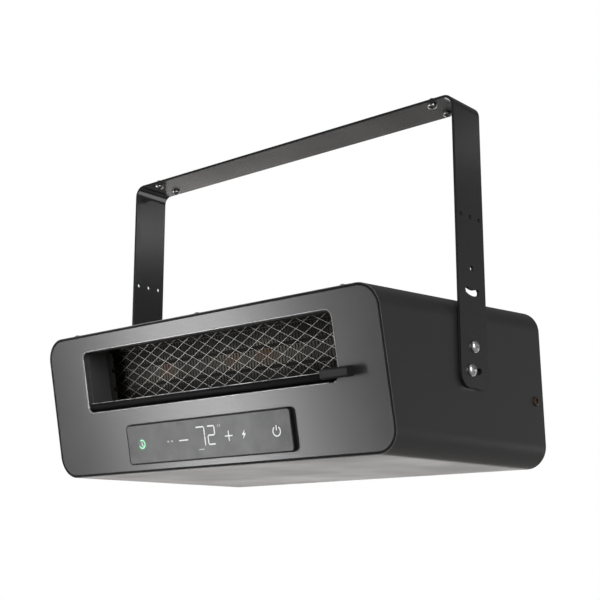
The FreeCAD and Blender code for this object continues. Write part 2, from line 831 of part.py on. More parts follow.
def intake_slot(x, z):
    """Cutting tool for one intake slot, its corners cut at 45 degrees."""
    half_long = intake_slot_length / 2
    half_tall = intake_slot_height / 2
    y = rear_y - rear_sheet - overrun
    tool = box(Vector(x - half_long, y, z - half_tall),
               Vector(x + half_long, rear_y + overrun, z + half_tall))
    return tool.makeChamfer(intake_corner, edges_along(tool, y_axis))


def gland_point():
    """Middle of the cable gland on the rear panel's outer face."""
    return Vector(half_width - gland_inset, rear_y, middle_z - gland_drop)


def cable_gland():
    outside = gland_point()
    inside = outside - y_axis * rear_sheet
    cap = rod(gland_cap_diameter, outside, y_axis * (gland_flange_thickness + gland_cap_length))
    rim = [edge for edge in cap.Edges
           if len(edge.Vertexes) == 1 and edge.Vertexes[0].Point.y > rear_y + same_place]
    gland = cap.makeChamfer(gland_cap_chamfer, rim)
    gland = gland.fuse(prism(6, gland_flats, outside, y_axis * gland_flange_thickness))
    gland = gland.fuse(rod(gland_thread, inside, y_axis * rear_sheet))
    gland = gland.fuse(prism(6, gland_flats, inside - y_axis * gland_nut_thickness,
                             y_axis * gland_nut_thickness)).removeSplitter()
    reach = gland_flange_thickness + gland_cap_length + rear_sheet + gland_nut_thickness
    bore_start = inside - y_axis * (gland_nut_thickness + overrun)
    return gland.cut(rod(gland_bore, bore_start, y_axis * (reach + 2 * overrun)))


def terminal_block():
    """Supply terminals on the rear panel's inner face, one wire slot for each pole."""
    back = rear_y - rear_sheet
    right = half_width - terminal_inset + terminal_width / 2
    base = middle_z + terminal_rise
    solid = box(Vector(right - terminal_width, back - terminal_depth, base),
                Vector(right, back, base + terminal_height))
    pitch = terminal_width / terminal_poles
    for pole in range(terminal_poles):
        x = right - (pole + 1 / 2) * pitch
        front = back - terminal_depth
        low = Vector(x - terminal_pole_width / 2, front - overrun, base - overrun)
        high = Vector(x + terminal_pole_width / 2, front + terminal_pole_depth, base + terminal_height / 2)
        solid = solid.cut(box(low, high))
    return solid


def fan_point(y):
    """Point on the fan's axis at a depth in the housing's frame."""
    return Vector(0, y, middle_z)


def fan_baffle():
    """Pan across the housing with a collar round the impeller."""
    inset = wall + fit_gap
    behind = rear_y - baffle_y
    low = Vector(-housing_width, baffle_y - baffle_flange, -rear_height - pivot_drop)
    high = Vector(housing_width, baffle_y, rear_height)
    pan = block(inset, 0, behind).cut(block(inset + baffle_sheet, 0, behind + baffle_sheet))
    pan = pan.common(box(low, high))
    collar = rod(2 * (orifice_radius + collar_wall), fan_point(collar_front), y_axis * collar_depth)
    bore_length = collar_depth + 2 * overrun
    bore = rod(2 * orifice_radius, fan_point(collar_front - overrun), y_axis * bore_length)
    return pan.fuse(collar).cut(bore)


def motor_bracket():
    """Ring round the motor with four arms, each with a leg back to the baffle."""
    ring_outer = motor_diameter / 2 + fit_gap + motor_ring_wall
    leg_radius = orifice_radius + collar_wall + motor_leg_outset
    ring_start = motor_back - motor_ring_depth
    foot = baffle_y - baffle_sheet
    half = motor_arm_width / 2
    bracket = rod(2 * ring_outer, fan_point(ring_start), y_axis * motor_ring_depth)
    for turn in range(4):
        arm = box(Vector(0, ring_start, middle_z - half),
                  Vector(leg_radius, ring_start + motor_arm_thickness, middle_z + half))
        leg = box(Vector(leg_radius - motor_arm_thickness, ring_start, middle_z - half),
                  Vector(leg_radius, foot, middle_z + half))
        pair = arm.fuse(leg)
        pair.rotate(fan_point(0), y_axis, (turn + 1 / 2) * 90)
        bracket = bracket.fuse(pair)
    bore = rod(motor_diameter + 2 * fit_gap, fan_point(ring_start - overrun),
               y_axis * (motor_ring_depth + 2 * overrun))
    return bracket.removeSplitter().cut(bore)


def fan_motor():
    can = rod(motor_diameter, fan_point(motor_front), y_axis * motor_depth)
    can = can.makeChamfer(motor_chamfer, [edge for edge in can.Edges if len(edge.Vertexes) == 1])
    boss = rod(motor_boss_diameter, fan_point(motor_front - motor_boss_depth),
               y_axis * (motor_depth + 2 * motor_boss_depth))
    bore = rod(shaft_diameter + 2 * shaft_clearance, fan_point(motor_front),
               y_axis * (motor_depth + motor_boss_depth + overrun))
    return can.fuse(boss).removeSplitter().cut(bore)


def fan_shaft():
    start = motor_front + running_gap
    return rod(shaft_diameter, fan_point(start), y_axis * (baffle_y - hub_back - start))


def blade_section(radius, chord, pitch_angle):
    """Cambered blade section square to +X at a radius from the fan's axis."""
    pitch = math.radians(pitch_angle)
    along = Vector(0, math.sin(pitch), math.cos(pitch))
    across = Vector(0, math.cos(pitch), -math.sin(pitch))
    centre = fan_point((collar_front + baffle_y) / 2) + x_axis * radius
    upper = []
    lower = []
    for station in blade_station_shares:
        spine = centre + along * (chord * station) + across * (blade_camber * (1 - (2 * station) ** 2))
        half = across * (blade_thickness / 2 * (1 - (2 * station) ** 2))
        upper.append(spine + half)
        lower.append(spine - half)
    outline = upper + lower[-2:0:-1]
    return Part.makePolygon(outline + outline[:1])


def fan_impeller():
    """Cup-shaped hub with twisted blades, trimmed to a cylinder at the tips."""
    rear = baffle_y - hub_back
    depth = rear - collar_front
    hub = rod(hub_diameter, fan_point(collar_front), y_axis * depth)
    hub = hub.cut(rod(hub_diameter - 2 * hub_wall, fan_point(collar_front - overrun),
                      y_axis * (depth - hub_wall + overrun)))
    hub = hub.fuse(rod(hub_boss_diameter, fan_point(collar_front), y_axis * depth))
    sections = [blade_section(hub_diameter / 2 - blade_root_sink, blade_root_chord, blade_root_pitch),
                blade_section(impeller_radius + overrun, blade_tip_chord, blade_tip_pitch)]
    blade = Part.makeLoft(sections, True, True)
    envelope = rod(2 * impeller_radius, fan_point(collar_front), y_axis * depth)
    blade = blade.common(envelope)
    for turn in range(blade_count):
        copy = blade.copy()
        copy.rotate(fan_point(0), y_axis, turn * 360 / blade_count)
        hub = hub.fuse(copy)
    bore = rod(shaft_diameter + 2 * shaft_clearance, fan_point(collar_front - overrun),
               y_axis * (depth + 2 * overrun))
    return hub.removeSplitter().cut(bore)


def board_corner():
    """Lower left corner of the relay board, on the ends of its standoffs."""
    return Vector(-half_width + board_side_gap, baffle_y - baffle_sheet - standoff_height,
                  middle_z - board_height / 2)


def power_board():
    corner = board_corner()
    return box(corner - y_axis * board_thickness, corner + Vector(board_width, 0, board_height))


def board_standoffs():
    corner = board_corner()
    posts = []
    for x in (standoff_inset, board_width - standoff_inset):
        for z in (standoff_inset, board_height - standoff_inset):
            posts.append(prism(6, standoff_flats, corner + Vector(x, 0, z), y_axis * standoff_height))
    return Part.makeCompound(posts)


def relay_blocks():
    corner = board_corner() - y_axis * board_thickness
    first = (board_width - (relay_count - 1) * relay_pitch - relay_width) / 2
    base = (board_height - relay_height) / 2
    blocks = []
    for step in range(relay_count):
        low = corner + Vector(first + step * relay_pitch, -relay_depth, base)
        blocks.append(box(low, low + Vector(relay_width, relay_depth, relay_height)))
    return Part.makeCompound(blocks)


strap_parts = {"bracket_strap": bracket_strap(), "ceiling_screws": ceiling_screws()}
housing_parts = {
    "housing_sleeve": housing_sleeve(),
    "pivot_bolts": tilt_bolts(bolt_places()[0]),
    "lock_bolts": tilt_bolts(bolt_places()[1]),
    "spacer_washers": spacer_washers(),
    "nut_plates": nut_plates(),
    "top_screws": top_screws(),
    "side_screws": side_screws(),
    "rear_panel": rear_panel(),
    "cable_gland": cable_gland(),
    "terminal_block": terminal_block(),
    "fan_baffle": fan_baffle(),
    "motor_bracket": motor_bracket(),
    "fan_motor": fan_motor(),
    "fan_shaft": fan_shaft(),
    "fan_impeller": fan_impeller(),
    "power_board": power_board(),
    "board_standoffs": board_standoffs(),
    "relay_blocks": relay_blocks(),
}
face_parts = {
    "front_panel": front_panel(),
    "outlet_frame": outlet_frame(),
    "mesh_guard": mesh_guard(),
    "core_frame": core_frame(),
    "core_screws": core_screws(),
    "heater_bars": heater_bars(),
    "heater_fins": heater_fins(),
    "core_end_caps": core_end_caps(),
    "thermal_cutout": thermal_cutout(),
    "louver_blade": louver_blade(),
    "louver_pins": louver_pins(),
    "louver_knob": louver_knob(),
    "control_bezel": control_bezel(),
    "touch_plate": touch_plate(),
    "control_board": control_board(),
    "display_module": display_module(),
}

os.makedirs("parts", exist_ok=True)
placed_parts = ((strap_parts, Placement()), (housing_parts, housing_place), (face_parts, face_place))
for parts, placement in placed_parts:
    for name, shape in parts.items():
        placed = moved(shape, placement)
        placed.exportStep("parts/" + name + ".step")
        bounds = placed.BoundBox
        print(f"{name}: {len(placed.Solids)} solids, valid {placed.isValid()}, "
              f"{placed.Volume:.0f} mm3, "
              f"y {bounds.YMin:.1f}..{bounds.YMax:.1f}, z {bounds.ZMin:.1f}..{bounds.ZMax:.1f}")

louver_point = face_place.multVec(Vector(0, louver_axis_depth, louver_axis_z))
fan_middle = housing_place.multVec(fan_point(baffle_y))
print("louver axis at", louver_point, "fan axis through", fan_middle)
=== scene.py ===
# %% [markdown]
# A fan heater that hangs under a ceiling. The solids come from CAD and stay where they are. This lesson
# gives them their finishes, swaps the small pieces that CAD keeps plain (screws, folded fins, the wire
# guard) for finer ones, draws the lit signs on the touch plate, and sets up a plain studio around them.

# %% Load the frame
import json
import math

import bmesh
import bpy
from mathutils import Matrix, Vector


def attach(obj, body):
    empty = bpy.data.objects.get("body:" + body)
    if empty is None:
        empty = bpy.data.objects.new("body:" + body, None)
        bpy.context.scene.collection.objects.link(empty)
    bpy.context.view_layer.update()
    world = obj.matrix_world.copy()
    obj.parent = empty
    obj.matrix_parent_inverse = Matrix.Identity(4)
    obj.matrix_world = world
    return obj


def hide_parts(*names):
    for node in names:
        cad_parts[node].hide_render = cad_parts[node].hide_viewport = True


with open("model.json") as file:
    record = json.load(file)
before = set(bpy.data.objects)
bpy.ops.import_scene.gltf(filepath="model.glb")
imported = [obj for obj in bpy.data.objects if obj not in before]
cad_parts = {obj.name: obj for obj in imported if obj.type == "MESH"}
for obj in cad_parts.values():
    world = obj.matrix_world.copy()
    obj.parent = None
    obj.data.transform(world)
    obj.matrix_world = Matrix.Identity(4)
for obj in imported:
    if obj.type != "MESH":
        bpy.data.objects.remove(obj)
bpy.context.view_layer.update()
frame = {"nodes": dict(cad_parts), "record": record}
nodes = frame["nodes"]

# %% [markdown]
# The heater is built in three frames. The strap uses the world's own axes, with the ceiling at zero
# height. The housing is tilted nose down about its pivot bolts. The front panel leans a little more, so
# signs and fins are easiest to draw in the panel's frame: X to the right, Y into the panel, Z up along it.

# %% Frames of the housing and its front panel
MM = 0.001
PIVOT_DROP = 270 * MM
HOUSING_TILT = math.radians(2.2)
PANEL_TOP = (0, -160.26 * MM, -227.27 * MM)
PANEL_LEAN = math.radians(11.7)

strap_place = Matrix.Identity(4)
housing_place = Matrix.Translation((0, 0, -PIVOT_DROP)) @ Matrix.Rotation(HOUSING_TILT, 4, "X")
panel_place = Matrix.Translation(PANEL_TOP) @ Matrix.Rotation(PANEL_LEAN, 4, "X")
into_panel = panel_place.inverted()
panel_inward = panel_place.to_3x3() @ Vector((0, 1, 0))
panel_upward = panel_place.to_3x3() @ Vector((0, 0, 1))
upright = Matrix.Rotation(math.radians(90), 4, "X")


def panel_point(across, inward, down):
    """World place of a point on the panel: mm to the right, into it and down from its top edge."""
    return panel_place @ Vector((across * MM, inward * MM, -down * MM))


def panel_box(node):
    """Lowest and highest corner of a CAD node, measured in the panel's frame, in metres."""
    points = [into_panel @ vertex.co for vertex in nodes[node].data.vertices]
    return (Vector(min(p[i] for p in points) for i in range(3)),
            Vector(max(p[i] for p in points) for i in range(3)))


touch_low, touch_high = panel_box("touch_plate")
print("touch plate in the panel's frame, mm:", [round(v / MM, 1) for v in (*touch_low, *touch_high)])

# %% [markdown]
# The camera stands low, in front and to the right, and looks slightly up, as one sees a heater that hangs
# overhead. Its place and lens come from fitting the housing's corners, so the perspective is the photo's.

# %% Camera


def aimed(place, target):
    """Rotation that points a camera or a lamp from its place to a target."""
    return (Vector(target) - Vector(place)).to_track_quat("-Z", "Y").to_euler()


CAMERA_PLACE = (0.8901, -1.0301, -0.4945)
CAMERA_AIM = (0.01406, 0, -0.18639)
camera_data = bpy.data.cameras.new("camera")
camera_data.lens = 71.64
camera_data.sensor_width = 36
camera = bpy.data.objects.new("camera", camera_data)
camera.location = CAMERA_PLACE
camera.rotation_euler = aimed(CAMERA_PLACE, CAMERA_AIM)
bpy.context.scene.collection.objects.link(camera)
bpy.context.scene.camera = camera
bpy.context.scene.view_settings.view_transform = "Standard"
print("camera is", round((Vector(CAMERA_AIM) - camera.location).length, 3), "m from its aim")

# %% [markdown]
# World and finishes are built from shader nodes. Each helper adds a node with its values filled in and
# links what feeds it. Most of them hand back the output that the next node needs.

# %% Node helpers


def link(tree, source, target):
    tree.links.new(source, target)


def add(tree, kind, **values):
    """A new node with some of its inputs or settings filled in."""
    node = tree.nodes.new(kind)
    for name, value in values.items():
        label = name.replace("_", " ").title()
        if hasattr(node, name):
            setattr(node, name, value)
        else:
            node.inputs[label].default_value = value
    return node


def tone_mix(tree, factor, first, second):
    """Mixes two tones by a factor; each tone is a colour or another node's output."""
    mix = add(tree, "ShaderNodeMix", data_type="RGBA")
    for name, tone in (("A", first), ("B", second)):
        if isinstance(tone, tuple):
            mix.inputs[name].default_value = (*tone, 1)
        else:
            link(tree, tone, mix.inputs[name])
    link(tree, factor, mix.inputs["Factor"])
    return mix.outputs["Result"]


def calc(tree, operation, first, second=0.0):
    """Arithmetic on two values; the second is a number or another node's output."""
    node = add(tree, "ShaderNodeMath", operation=operation)
    link(tree, first, node.inputs[0])
    if isinstance(second, float):
        node.inputs[1].default_value = second
    else:
        link(tree, second, node.inputs[1])
    return node.outputs[0]


def map_range(tree, value, from_min, from_max, to_min=0.0, to_max=1.0, smooth=False):
    """Maps a value from one range onto another, in a straight line or with soft ends."""
    node = add(tree, "ShaderNodeMapRange", from_min=from_min, from_max=from_max, to_min=to_min,
               to_max=to_max)
    if smooth:
        node.interpolation_type = "SMOOTHSTEP"
    link(tree, value, node.inputs["Value"])
    return node.outputs["Result"]


def object_coords(tree):
    return add(tree, "ShaderNodeTexCoord").outputs["Object"]


def noise(tree, **values):
    """Noise over the object's own coordinates."""
    node = add(tree, "ShaderNodeTexNoise", **values)
    link(tree, object_coords(tree), node.inputs["Vector"])
    return node


def measure(tree, operation, vector):
    """DISTANCE from a place, or DOT_PRODUCT for the length along a direction, in object coordinates."""
    node = add(tree, "ShaderNodeVectorMath", operation=operation)
    node.inputs[1].default_value = vector
    link(tree, object_coords(tree), node.inputs[0])
    return node.outputs["Value"]


print("node helpers ready")

# %% [markdown]
# Dark coats show what they reflect more than their own colour. The world is white to the camera, but only
# a middle grey to diffuse light and to reflections, as in a studio whose walls grow darker upward. The floor
# is pale and a little warm, and that is what the underside of the housing shows at a flat angle.

# %% World and floor
WHITE = (1, 1, 1)
ROOM_LIGHT = (0.50, 0.50, 0.51)
WALL_LOW, WALL_HIGH = (0.40, 0.40, 0.41), (0.15, 0.15, 0.155)
WALL_FADE = (0.10, 0.40)
FLOOR_HALF, FLOOR_HEIGHT = 12, -1.1

world = bpy.data.worlds.new("studio")
world.use_nodes = True
bpy.context.scene.world = world
tree = world.node_tree
rays = add(tree, "ShaderNodeLightPath").outputs
direction = add(tree, "ShaderNodeSeparateXYZ")
link(tree, add(tree, "ShaderNodeTexCoord").outputs["Generated"], direction.inputs["Vector"])
walls = tone_mix(tree, map_range(tree, direction.outputs["Z"], *WALL_FADE), WALL_LOW, WALL_HIGH)
mirrored = tone_mix(tree, rays["Is Glossy Ray"], ROOM_LIGHT, walls)
seen = calc(tree, "MAXIMUM", rays["Is Camera Ray"], rays["Is Transmission Ray"])
link(tree, tone_mix(tree, seen, mirrored, WHITE), tree.nodes["Background"].inputs["Color"])

floor_mesh = bpy.data.meshes.new("floor")
shape = bmesh.new()
bmesh.ops.create_grid(shape, x_segments=4, y_segments=4, size=FLOOR_HALF)
bmesh.ops.translate(shape, vec=(0, 0, FLOOR_HEIGHT), verts=shape.verts)
shape.to_mesh(floor_mesh)
shape.free()
floor = bpy.data.objects.new("floor", floor_mesh)
bpy.context.scene.collection.objects.link(floor)
print("floor at", FLOOR_HEIGHT, "m, world white to the camera")

# %% [markdown]
# One tall, narrow softbox stands front left, where the front panel mirrors it to the camera. That is the
# bright band that fades to both sides of the panel. A wide box overhead lights the top faces and the mesh,
# and one from the right picks out the bolts and the outlet's left wall. Two more light nothing but the
# strap: a small one behind gives each leg its soft patch of shine, and a low one lightens the left bend.

# %% Lamps


def softbox(name, place, target, width, height, power, only=None, spread=180):
    """A rectangular lamp, in metres, watts and degrees; only is the collection it lights, if not all."""
    lamp = bpy.data.lights.new(name, "AREA")
    lamp.shape = "RECTANGLE"
    lamp.size, lamp.size_y, lamp.energy = width, height, power
    lamp.spread = math.radians(spread)
    holder = bpy.data.objects.new(name, lamp)
    holder.location = place
    holder.rotation_euler = aimed(place, target)
    holder.visible_camera = False
    holder.light_linking.receiver_collection = only
    bpy.context.scene.collection.objects.link(holder)


strap_only = bpy.data.collections.new("strap_only")
strap_only.objects.link(nodes["bracket_strap"])
softbox("band_light", (-1.08, -1.245, -0.52), (0, -0.15, -0.32), 0.26, 1.5, 18.5)
softbox("top_light", (0.2, -0.5, 1.5), (0, 0, -0.3), 1.4, 1.4, 5)
softbox("side_light", (1.4, -0.8, 0.1), (0.1, -0.1, -0.3), 0.5, 0.9, 20)
softbox("rear_light", (0.89, 1.03, 0.39), (-0.25, 0, -0.055), 0.12, 0.10, 0.0145, strap_only, spread=34)
softbox("bend_light", (0.53, 1.0, -0.83), (-0.24, 0, -0.02), 0.7, 1.3, 18, strap_only)

# %% [markdown]
# Several finishes share the same effects, so each effect is a node group that is built once. Powder coat
# grain is fine noise for the bumps and broad noise for slow changes of tone. Drawn metal is noise that is
# stretched along one axis, and zinc spangle is made of flat crystal cells.

# %% Grain, drawn lines and spangle


def effect(name, inputs, outputs):
    """An empty node group with float inputs and outputs; returns it with its two end nodes."""
    group = bpy.data.node_groups.new(name, "ShaderNodeTree")
    for title, value in inputs.items():
        socket = group.interface.new_socket(title, in_out="INPUT", socket_type="NodeSocketFloat")
        socket.default_value = value
    for title in outputs:
        group.interface.new_socket(title, in_out="OUTPUT", socket_type="NodeSocketFloat")
    return group, group.nodes.new("NodeGroupInput"), group.nodes.new("NodeGroupOutput")


coat_grain, start, end = effect("coat_grain", {"Scale": 900.0}, ["Height", "Mottle"])
fine = noise(coat_grain, detail=2.0, roughness=0.55)
broad = noise(coat_grain, scale=14.0, detail=3.0)
link(coat_grain, start.outputs["Scale"], fine.inputs["Scale"])
link(coat_grain, fine.outputs["Fac"], end.inputs["Height"])
link(coat_grain, broad.outputs["Fac"], end.inputs["Mottle"])

drawn_metal, start, end = effect("drawn_metal", {"Across": 2500.0, "Along": 40.0}, ["Line"])
stretch = add(drawn_metal, "ShaderNodeVectorMath", operation="MULTIPLY")
factors = add(drawn_metal, "ShaderNodeCombineXYZ")
lines = add(drawn_metal, "ShaderNodeTexNoise", scale=1.0, detail=2.0)
for axis, length in (("X", "Along"), ("Y", "Across"), ("Z", "Across")):
    link(drawn_metal, start.outputs[length], factors.inputs[axis])
link(drawn_metal, object_coords(drawn_metal), stretch.inputs[0])
link(drawn_metal, factors.outputs["Vector"], stretch.inputs[1])
link(drawn_metal, stretch.outputs["Vector"], lines.inputs["Vector"])
link(drawn_metal, lines.outputs["Fac"], end.inputs["Line"])

zinc_spangle, start, end = effect("zinc_spangle", {"Scale": 90.0}, ["Crystal"])
cells = add(zinc_spangle, "ShaderNodeTexVoronoi")
link(zinc_spangle, object_coords(zinc_spangle), cells.inputs["Vector"])
link(zinc_spangle, start.outputs["Scale"], cells.inputs["Scale"])
link(zinc_spangle, cells.outputs["Color"], end.inputs["Crystal"])
print("effects:", [g.name for g in bpy.data.node_groups])

# %% [markdown]
# Two more effects. Settled dust, a trace of use, lies in patches on faces that look up. Painted shade darkens
# the mesh and the fins towards the outlet's left end, where the duct's left wall shades them.

# %% Dust and painted shade
# Where the painted shade at the outlet's left end is deepest and where it stops, across the panel.
PAINTED_SHADE_END, PAINTED_SHADE_STOP = -172 * MM, -100 * MM

settled_dust, start, end = effect("settled_dust", {"Amount": 0.2}, ["Dust"])
upward = add(settled_dust, "ShaderNodeSeparateXYZ")
surface = add(settled_dust, "ShaderNodeNewGeometry")
link(settled_dust, surface.outputs["Normal"], upward.inputs["Vector"])
facing = map_range(settled_dust, upward.outputs["Z"], 0.5, 1.0)
patches = noise(settled_dust, scale=30.0, detail=5.0)
lying = calc(settled_dust, "MULTIPLY", facing, patches.outputs["Fac"])
link(settled_dust, calc(settled_dust, "MULTIPLY", lying, start.outputs["Amount"]), end.inputs["Dust"])

# Painted shade: the tone falls towards the outlet's left end, down to a least share.
painted_end_shade, start, end = effect("painted_end_shade", {"Least": 0.2}, ["Clean"])
across = add(painted_end_shade, "ShaderNodeSeparateXYZ")
link(painted_end_shade, object_coords(painted_end_shade), across.inputs["Vector"])
unshaded = map_range(painted_end_shade, across.outputs["X"], PAINTED_SHADE_END, PAINTED_SHADE_STOP, smooth=True)
link(painted_end_shade, start.outputs["Least"], unshaded.node.inputs["To Min"])
link(painted_end_shade, unshaded, end.inputs["Clean"])
print("effects:", [g.name for g in bpy.data.node_groups])

# %% [markdown]
# Most finishes are a coat: two close tones that drift into each other, a roughness that drifts with them,
# fine bumps and a trace of dust. One function makes them all from a few numbers. The bump is kept small,
# because powder coat and moulded plastic look even from a metre away.

# %% Coat recipe
DUST_TONE = (0.30, 0.29, 0.27)
finishes = {}


def group_node(tree, group, **values):
    """Outputs of a shared effect with its inputs filled in."""
    node = tree.nodes.new("ShaderNodeGroup")
    node.node_tree = group
    for name, value in values.items():
        node.inputs[name].default_value = value
    return node.outputs


def span(tree, factor, low, high):
    """Maps a noise value, which stays mostly between 0.3 and 0.7, onto a range."""
    return map_range(tree, factor, 0.3, 0.7, low, high)


def bump(tree, shader, height, strength, depth):
    node = add(tree, "ShaderNodeBump", strength=strength, distance=depth)
    link(tree, height, node.inputs["Height"])
    link(tree, node.outputs["Normal"], shader.inputs["Normal"])


def new_finish(name):
    """A new material, kept in finishes under its name; returns its tree and its shader node."""
    material = bpy.data.materials.new(name)
    material.use_nodes = True
    finishes[name] = material
    return material.node_tree, material.node_tree.nodes["Principled BSDF"]


def coat(name, dark, light, rough, grain=900.0, depth=0.00006, specular=0.5, dust=0.1):
    """A coat between two tones and two roughnesses, with bumps of some depth in metres."""
    tree, shader = new_finish(name)
    grained = group_node(tree, coat_grain, Scale=grain)
    dusty = group_node(tree, settled_dust, Amount=dust)
    tone = tone_mix(tree, grained["Mottle"], dark, light)
    link(tree, tone_mix(tree, dusty["Dust"], tone, DUST_TONE), shader.inputs["Base Color"])
    link(tree, span(tree, grained["Mottle"], *rough), shader.inputs["Roughness"])
    shader.inputs["Specular IOR Level"].default_value = specular
    bump(tree, shader, grained["Height"], strength=0.35, depth=depth)


print("coat recipe ready")

# %% Coats and mouldings
coat("black_powder", (0.009, 0.009, 0.0095), (0.013, 0.013, 0.0135), (0.36, 0.42),
     depth=0.00001, specular=0.54, dust=0.06)
coat("strap_powder", (0.009, 0.009, 0.0095), (0.013, 0.013, 0.0135), (0.19, 0.23),
     depth=0.000004, specular=0.22, dust=0.06)
coat("panel_grey", (0.015, 0.0153, 0.016), (0.018, 0.0183, 0.019), (0.25, 0.27),
     grain=1400.0, depth=0.000003, dust=0.0)
coat("duct_plastic", (0.032, 0.032, 0.0325), (0.042, 0.042, 0.0425), (0.36, 0.44),
     grain=700.0, depth=0.00002, specular=0.3, dust=0.02)
coat("louver_black", (0.003, 0.003, 0.0032), (0.005, 0.005, 0.0052), (0.46, 0.54),
     grain=700.0, depth=0.00001, specular=0.06, dust=0.0)
coat("knob_plastic", (0.006, 0.006, 0.0063), (0.009, 0.009, 0.0093), (0.46, 0.54),
     grain=1600.0, depth=0.00002, specular=0.16, dust=0.05)
coat("bezel_plastic", (0.003, 0.003, 0.0032), (0.005, 0.005, 0.0052), (0.30, 0.38),
     grain=1200.0, depth=0.00001, specular=0.08, dust=0.0)
coat("cap_plastic", (0.018, 0.017, 0.015), (0.028, 0.026, 0.023), (0.5, 0.6))
coat("motor_steel", (0.02, 0.02, 0.021), (0.032, 0.032, 0.034), (0.28, 0.38))
coat("fan_plastic", (0.022, 0.022, 0.024), (0.034, 0.034, 0.036), (0.42, 0.52))
coat("relay_plastic", (0.018, 0.036, 0.11), (0.026, 0.05, 0.15), (0.38, 0.46))
coat("terminal_plastic", (0.48, 0.46, 0.41), (0.56, 0.54, 0.49), (0.42, 0.52))
coat("gland_plastic", (0.014, 0.014, 0.015), (0.022, 0.022, 0.023), (0.42, 0.52))
print("coats:", sorted(finishes))

# %% [markdown]
# Metals share a second recipe. The drawn lines change both tone and roughness a little, so that a bolt or
# a sheet doesn't mirror like chrome. Galvanised sheet adds the spangle's crystals.

# %% Metals
PAINTED_SHADE_TONE = (0.012, 0.011, 0.010)


def with_painted_end_shade(tree, tone, least):
    """The tone with painted shade towards the outlet's left end, darkened down to a least share."""
    return tone_mix(tree, group_node(tree, painted_end_shade, Least=least)["Clean"], PAINTED_SHADE_TONE, tone)


def metal(name, dark, light, rough, lines=(2500.0, 300.0), spangle=None, painted_shade=None):
    """Bare metal between two tones and two roughnesses; lines are drawn per metre, across and along."""
    tree, shader = new_finish(name)
    drawn = group_node(tree, drawn_metal, Across=lines[0], Along=lines[1])["Line"]
    pattern = group_node(tree, zinc_spangle, Scale=spangle)["Crystal"] if spangle else drawn
    tone = tone_mix(tree, pattern, dark, light)
    # Painted shade towards the outlet's left end, for metals that ask for it.
    if painted_shade:
        tone = with_painted_end_shade(tree, tone, painted_shade)
    link(tree, tone, shader.inputs["Base Color"])
    link(tree, span(tree, drawn, *rough), shader.inputs["Roughness"])
    shader.inputs["Metallic"].default_value = 1.0
    bump(tree, shader, drawn, strength=0.15, depth=0.00004)


metal("zinc", (0.50, 0.50, 0.51), (0.68, 0.68, 0.69), (0.22, 0.36))
# A darker copy of zinc: painted shade for the ceiling screws.
metal("shade_dimmed_zinc", (0.26, 0.26, 0.265), (0.38, 0.38, 0.385), (0.26, 0.40))
metal("brass", (0.085, 0.064, 0.046), (0.14, 0.105, 0.078), (0.34, 0.46))
# The guard's wires take painted shade towards the outlet's left end.
metal("mesh_steel", (0.34, 0.337, 0.331), (0.60, 0.595, 0.584), (0.24, 0.34),
      lines=(900.0, 900.0), painted_shade=0.22)
metal("sheet_steel", (0.42, 0.43, 0.44), (0.58, 0.59, 0.60), (0.32, 0.46), spangle=90.0)
metal("bar_aluminium", (0.006, 0.0055, 0.005), (0.011, 0.010, 0.009), (0.50, 0.60), lines=(1800.0, 60.0))
# Painted highlight: patches from dark to bright break the louver rods' glint into dashes.
metal("glint_dash_metal", (0.06, 0.06, 0.061), (0.62, 0.62, 0.63), (0.26, 0.36), spangle=130.0)
metal("bead_metal", (0.24, 0.24, 0.242), (0.34, 0.34, 0.343), (0.28, 0.36), lines=(900.0, 40.0))
print("finishes so far:", len(finishes))

# %% [markdown]
# The heating core's aluminium is tinted by heat. A colour ramp turns warmth into tone, from dark grey to
# brown. Warmth is slow noise, less towards the upper and lower ribbons, and more round three hot spots.
# Behind their front edge the folds are painted black as shade, and towards the outlet's left end the fins
# darken with painted shade.

# %% Heat-tinted fins
HEAT_TONES = ((0.24, (0.028, 0.028, 0.0265)), (0.40, (0.062, 0.061, 0.057)),
              (0.54, (0.155, 0.146, 0.132)), (0.70, (0.185, 0.115, 0.075)))
HOT_SPOTS, HOT_DEPTH = ((-84, 53), (15, 50), (60, 48)), 37.5
# How far behind the fins' front edge the painted shade of the folds reaches full black.
PAINTED_SHADE_DEPTH = 1.0 * MM
# A near and a far distance, and the warmth that is added at each of them.
FROM_MIDDLE = (8 * MM, 22 * MM, 0.04, -0.16)
FROM_HOT_SPOT = (5 * MM, 22 * MM, 0.16, 0.0)


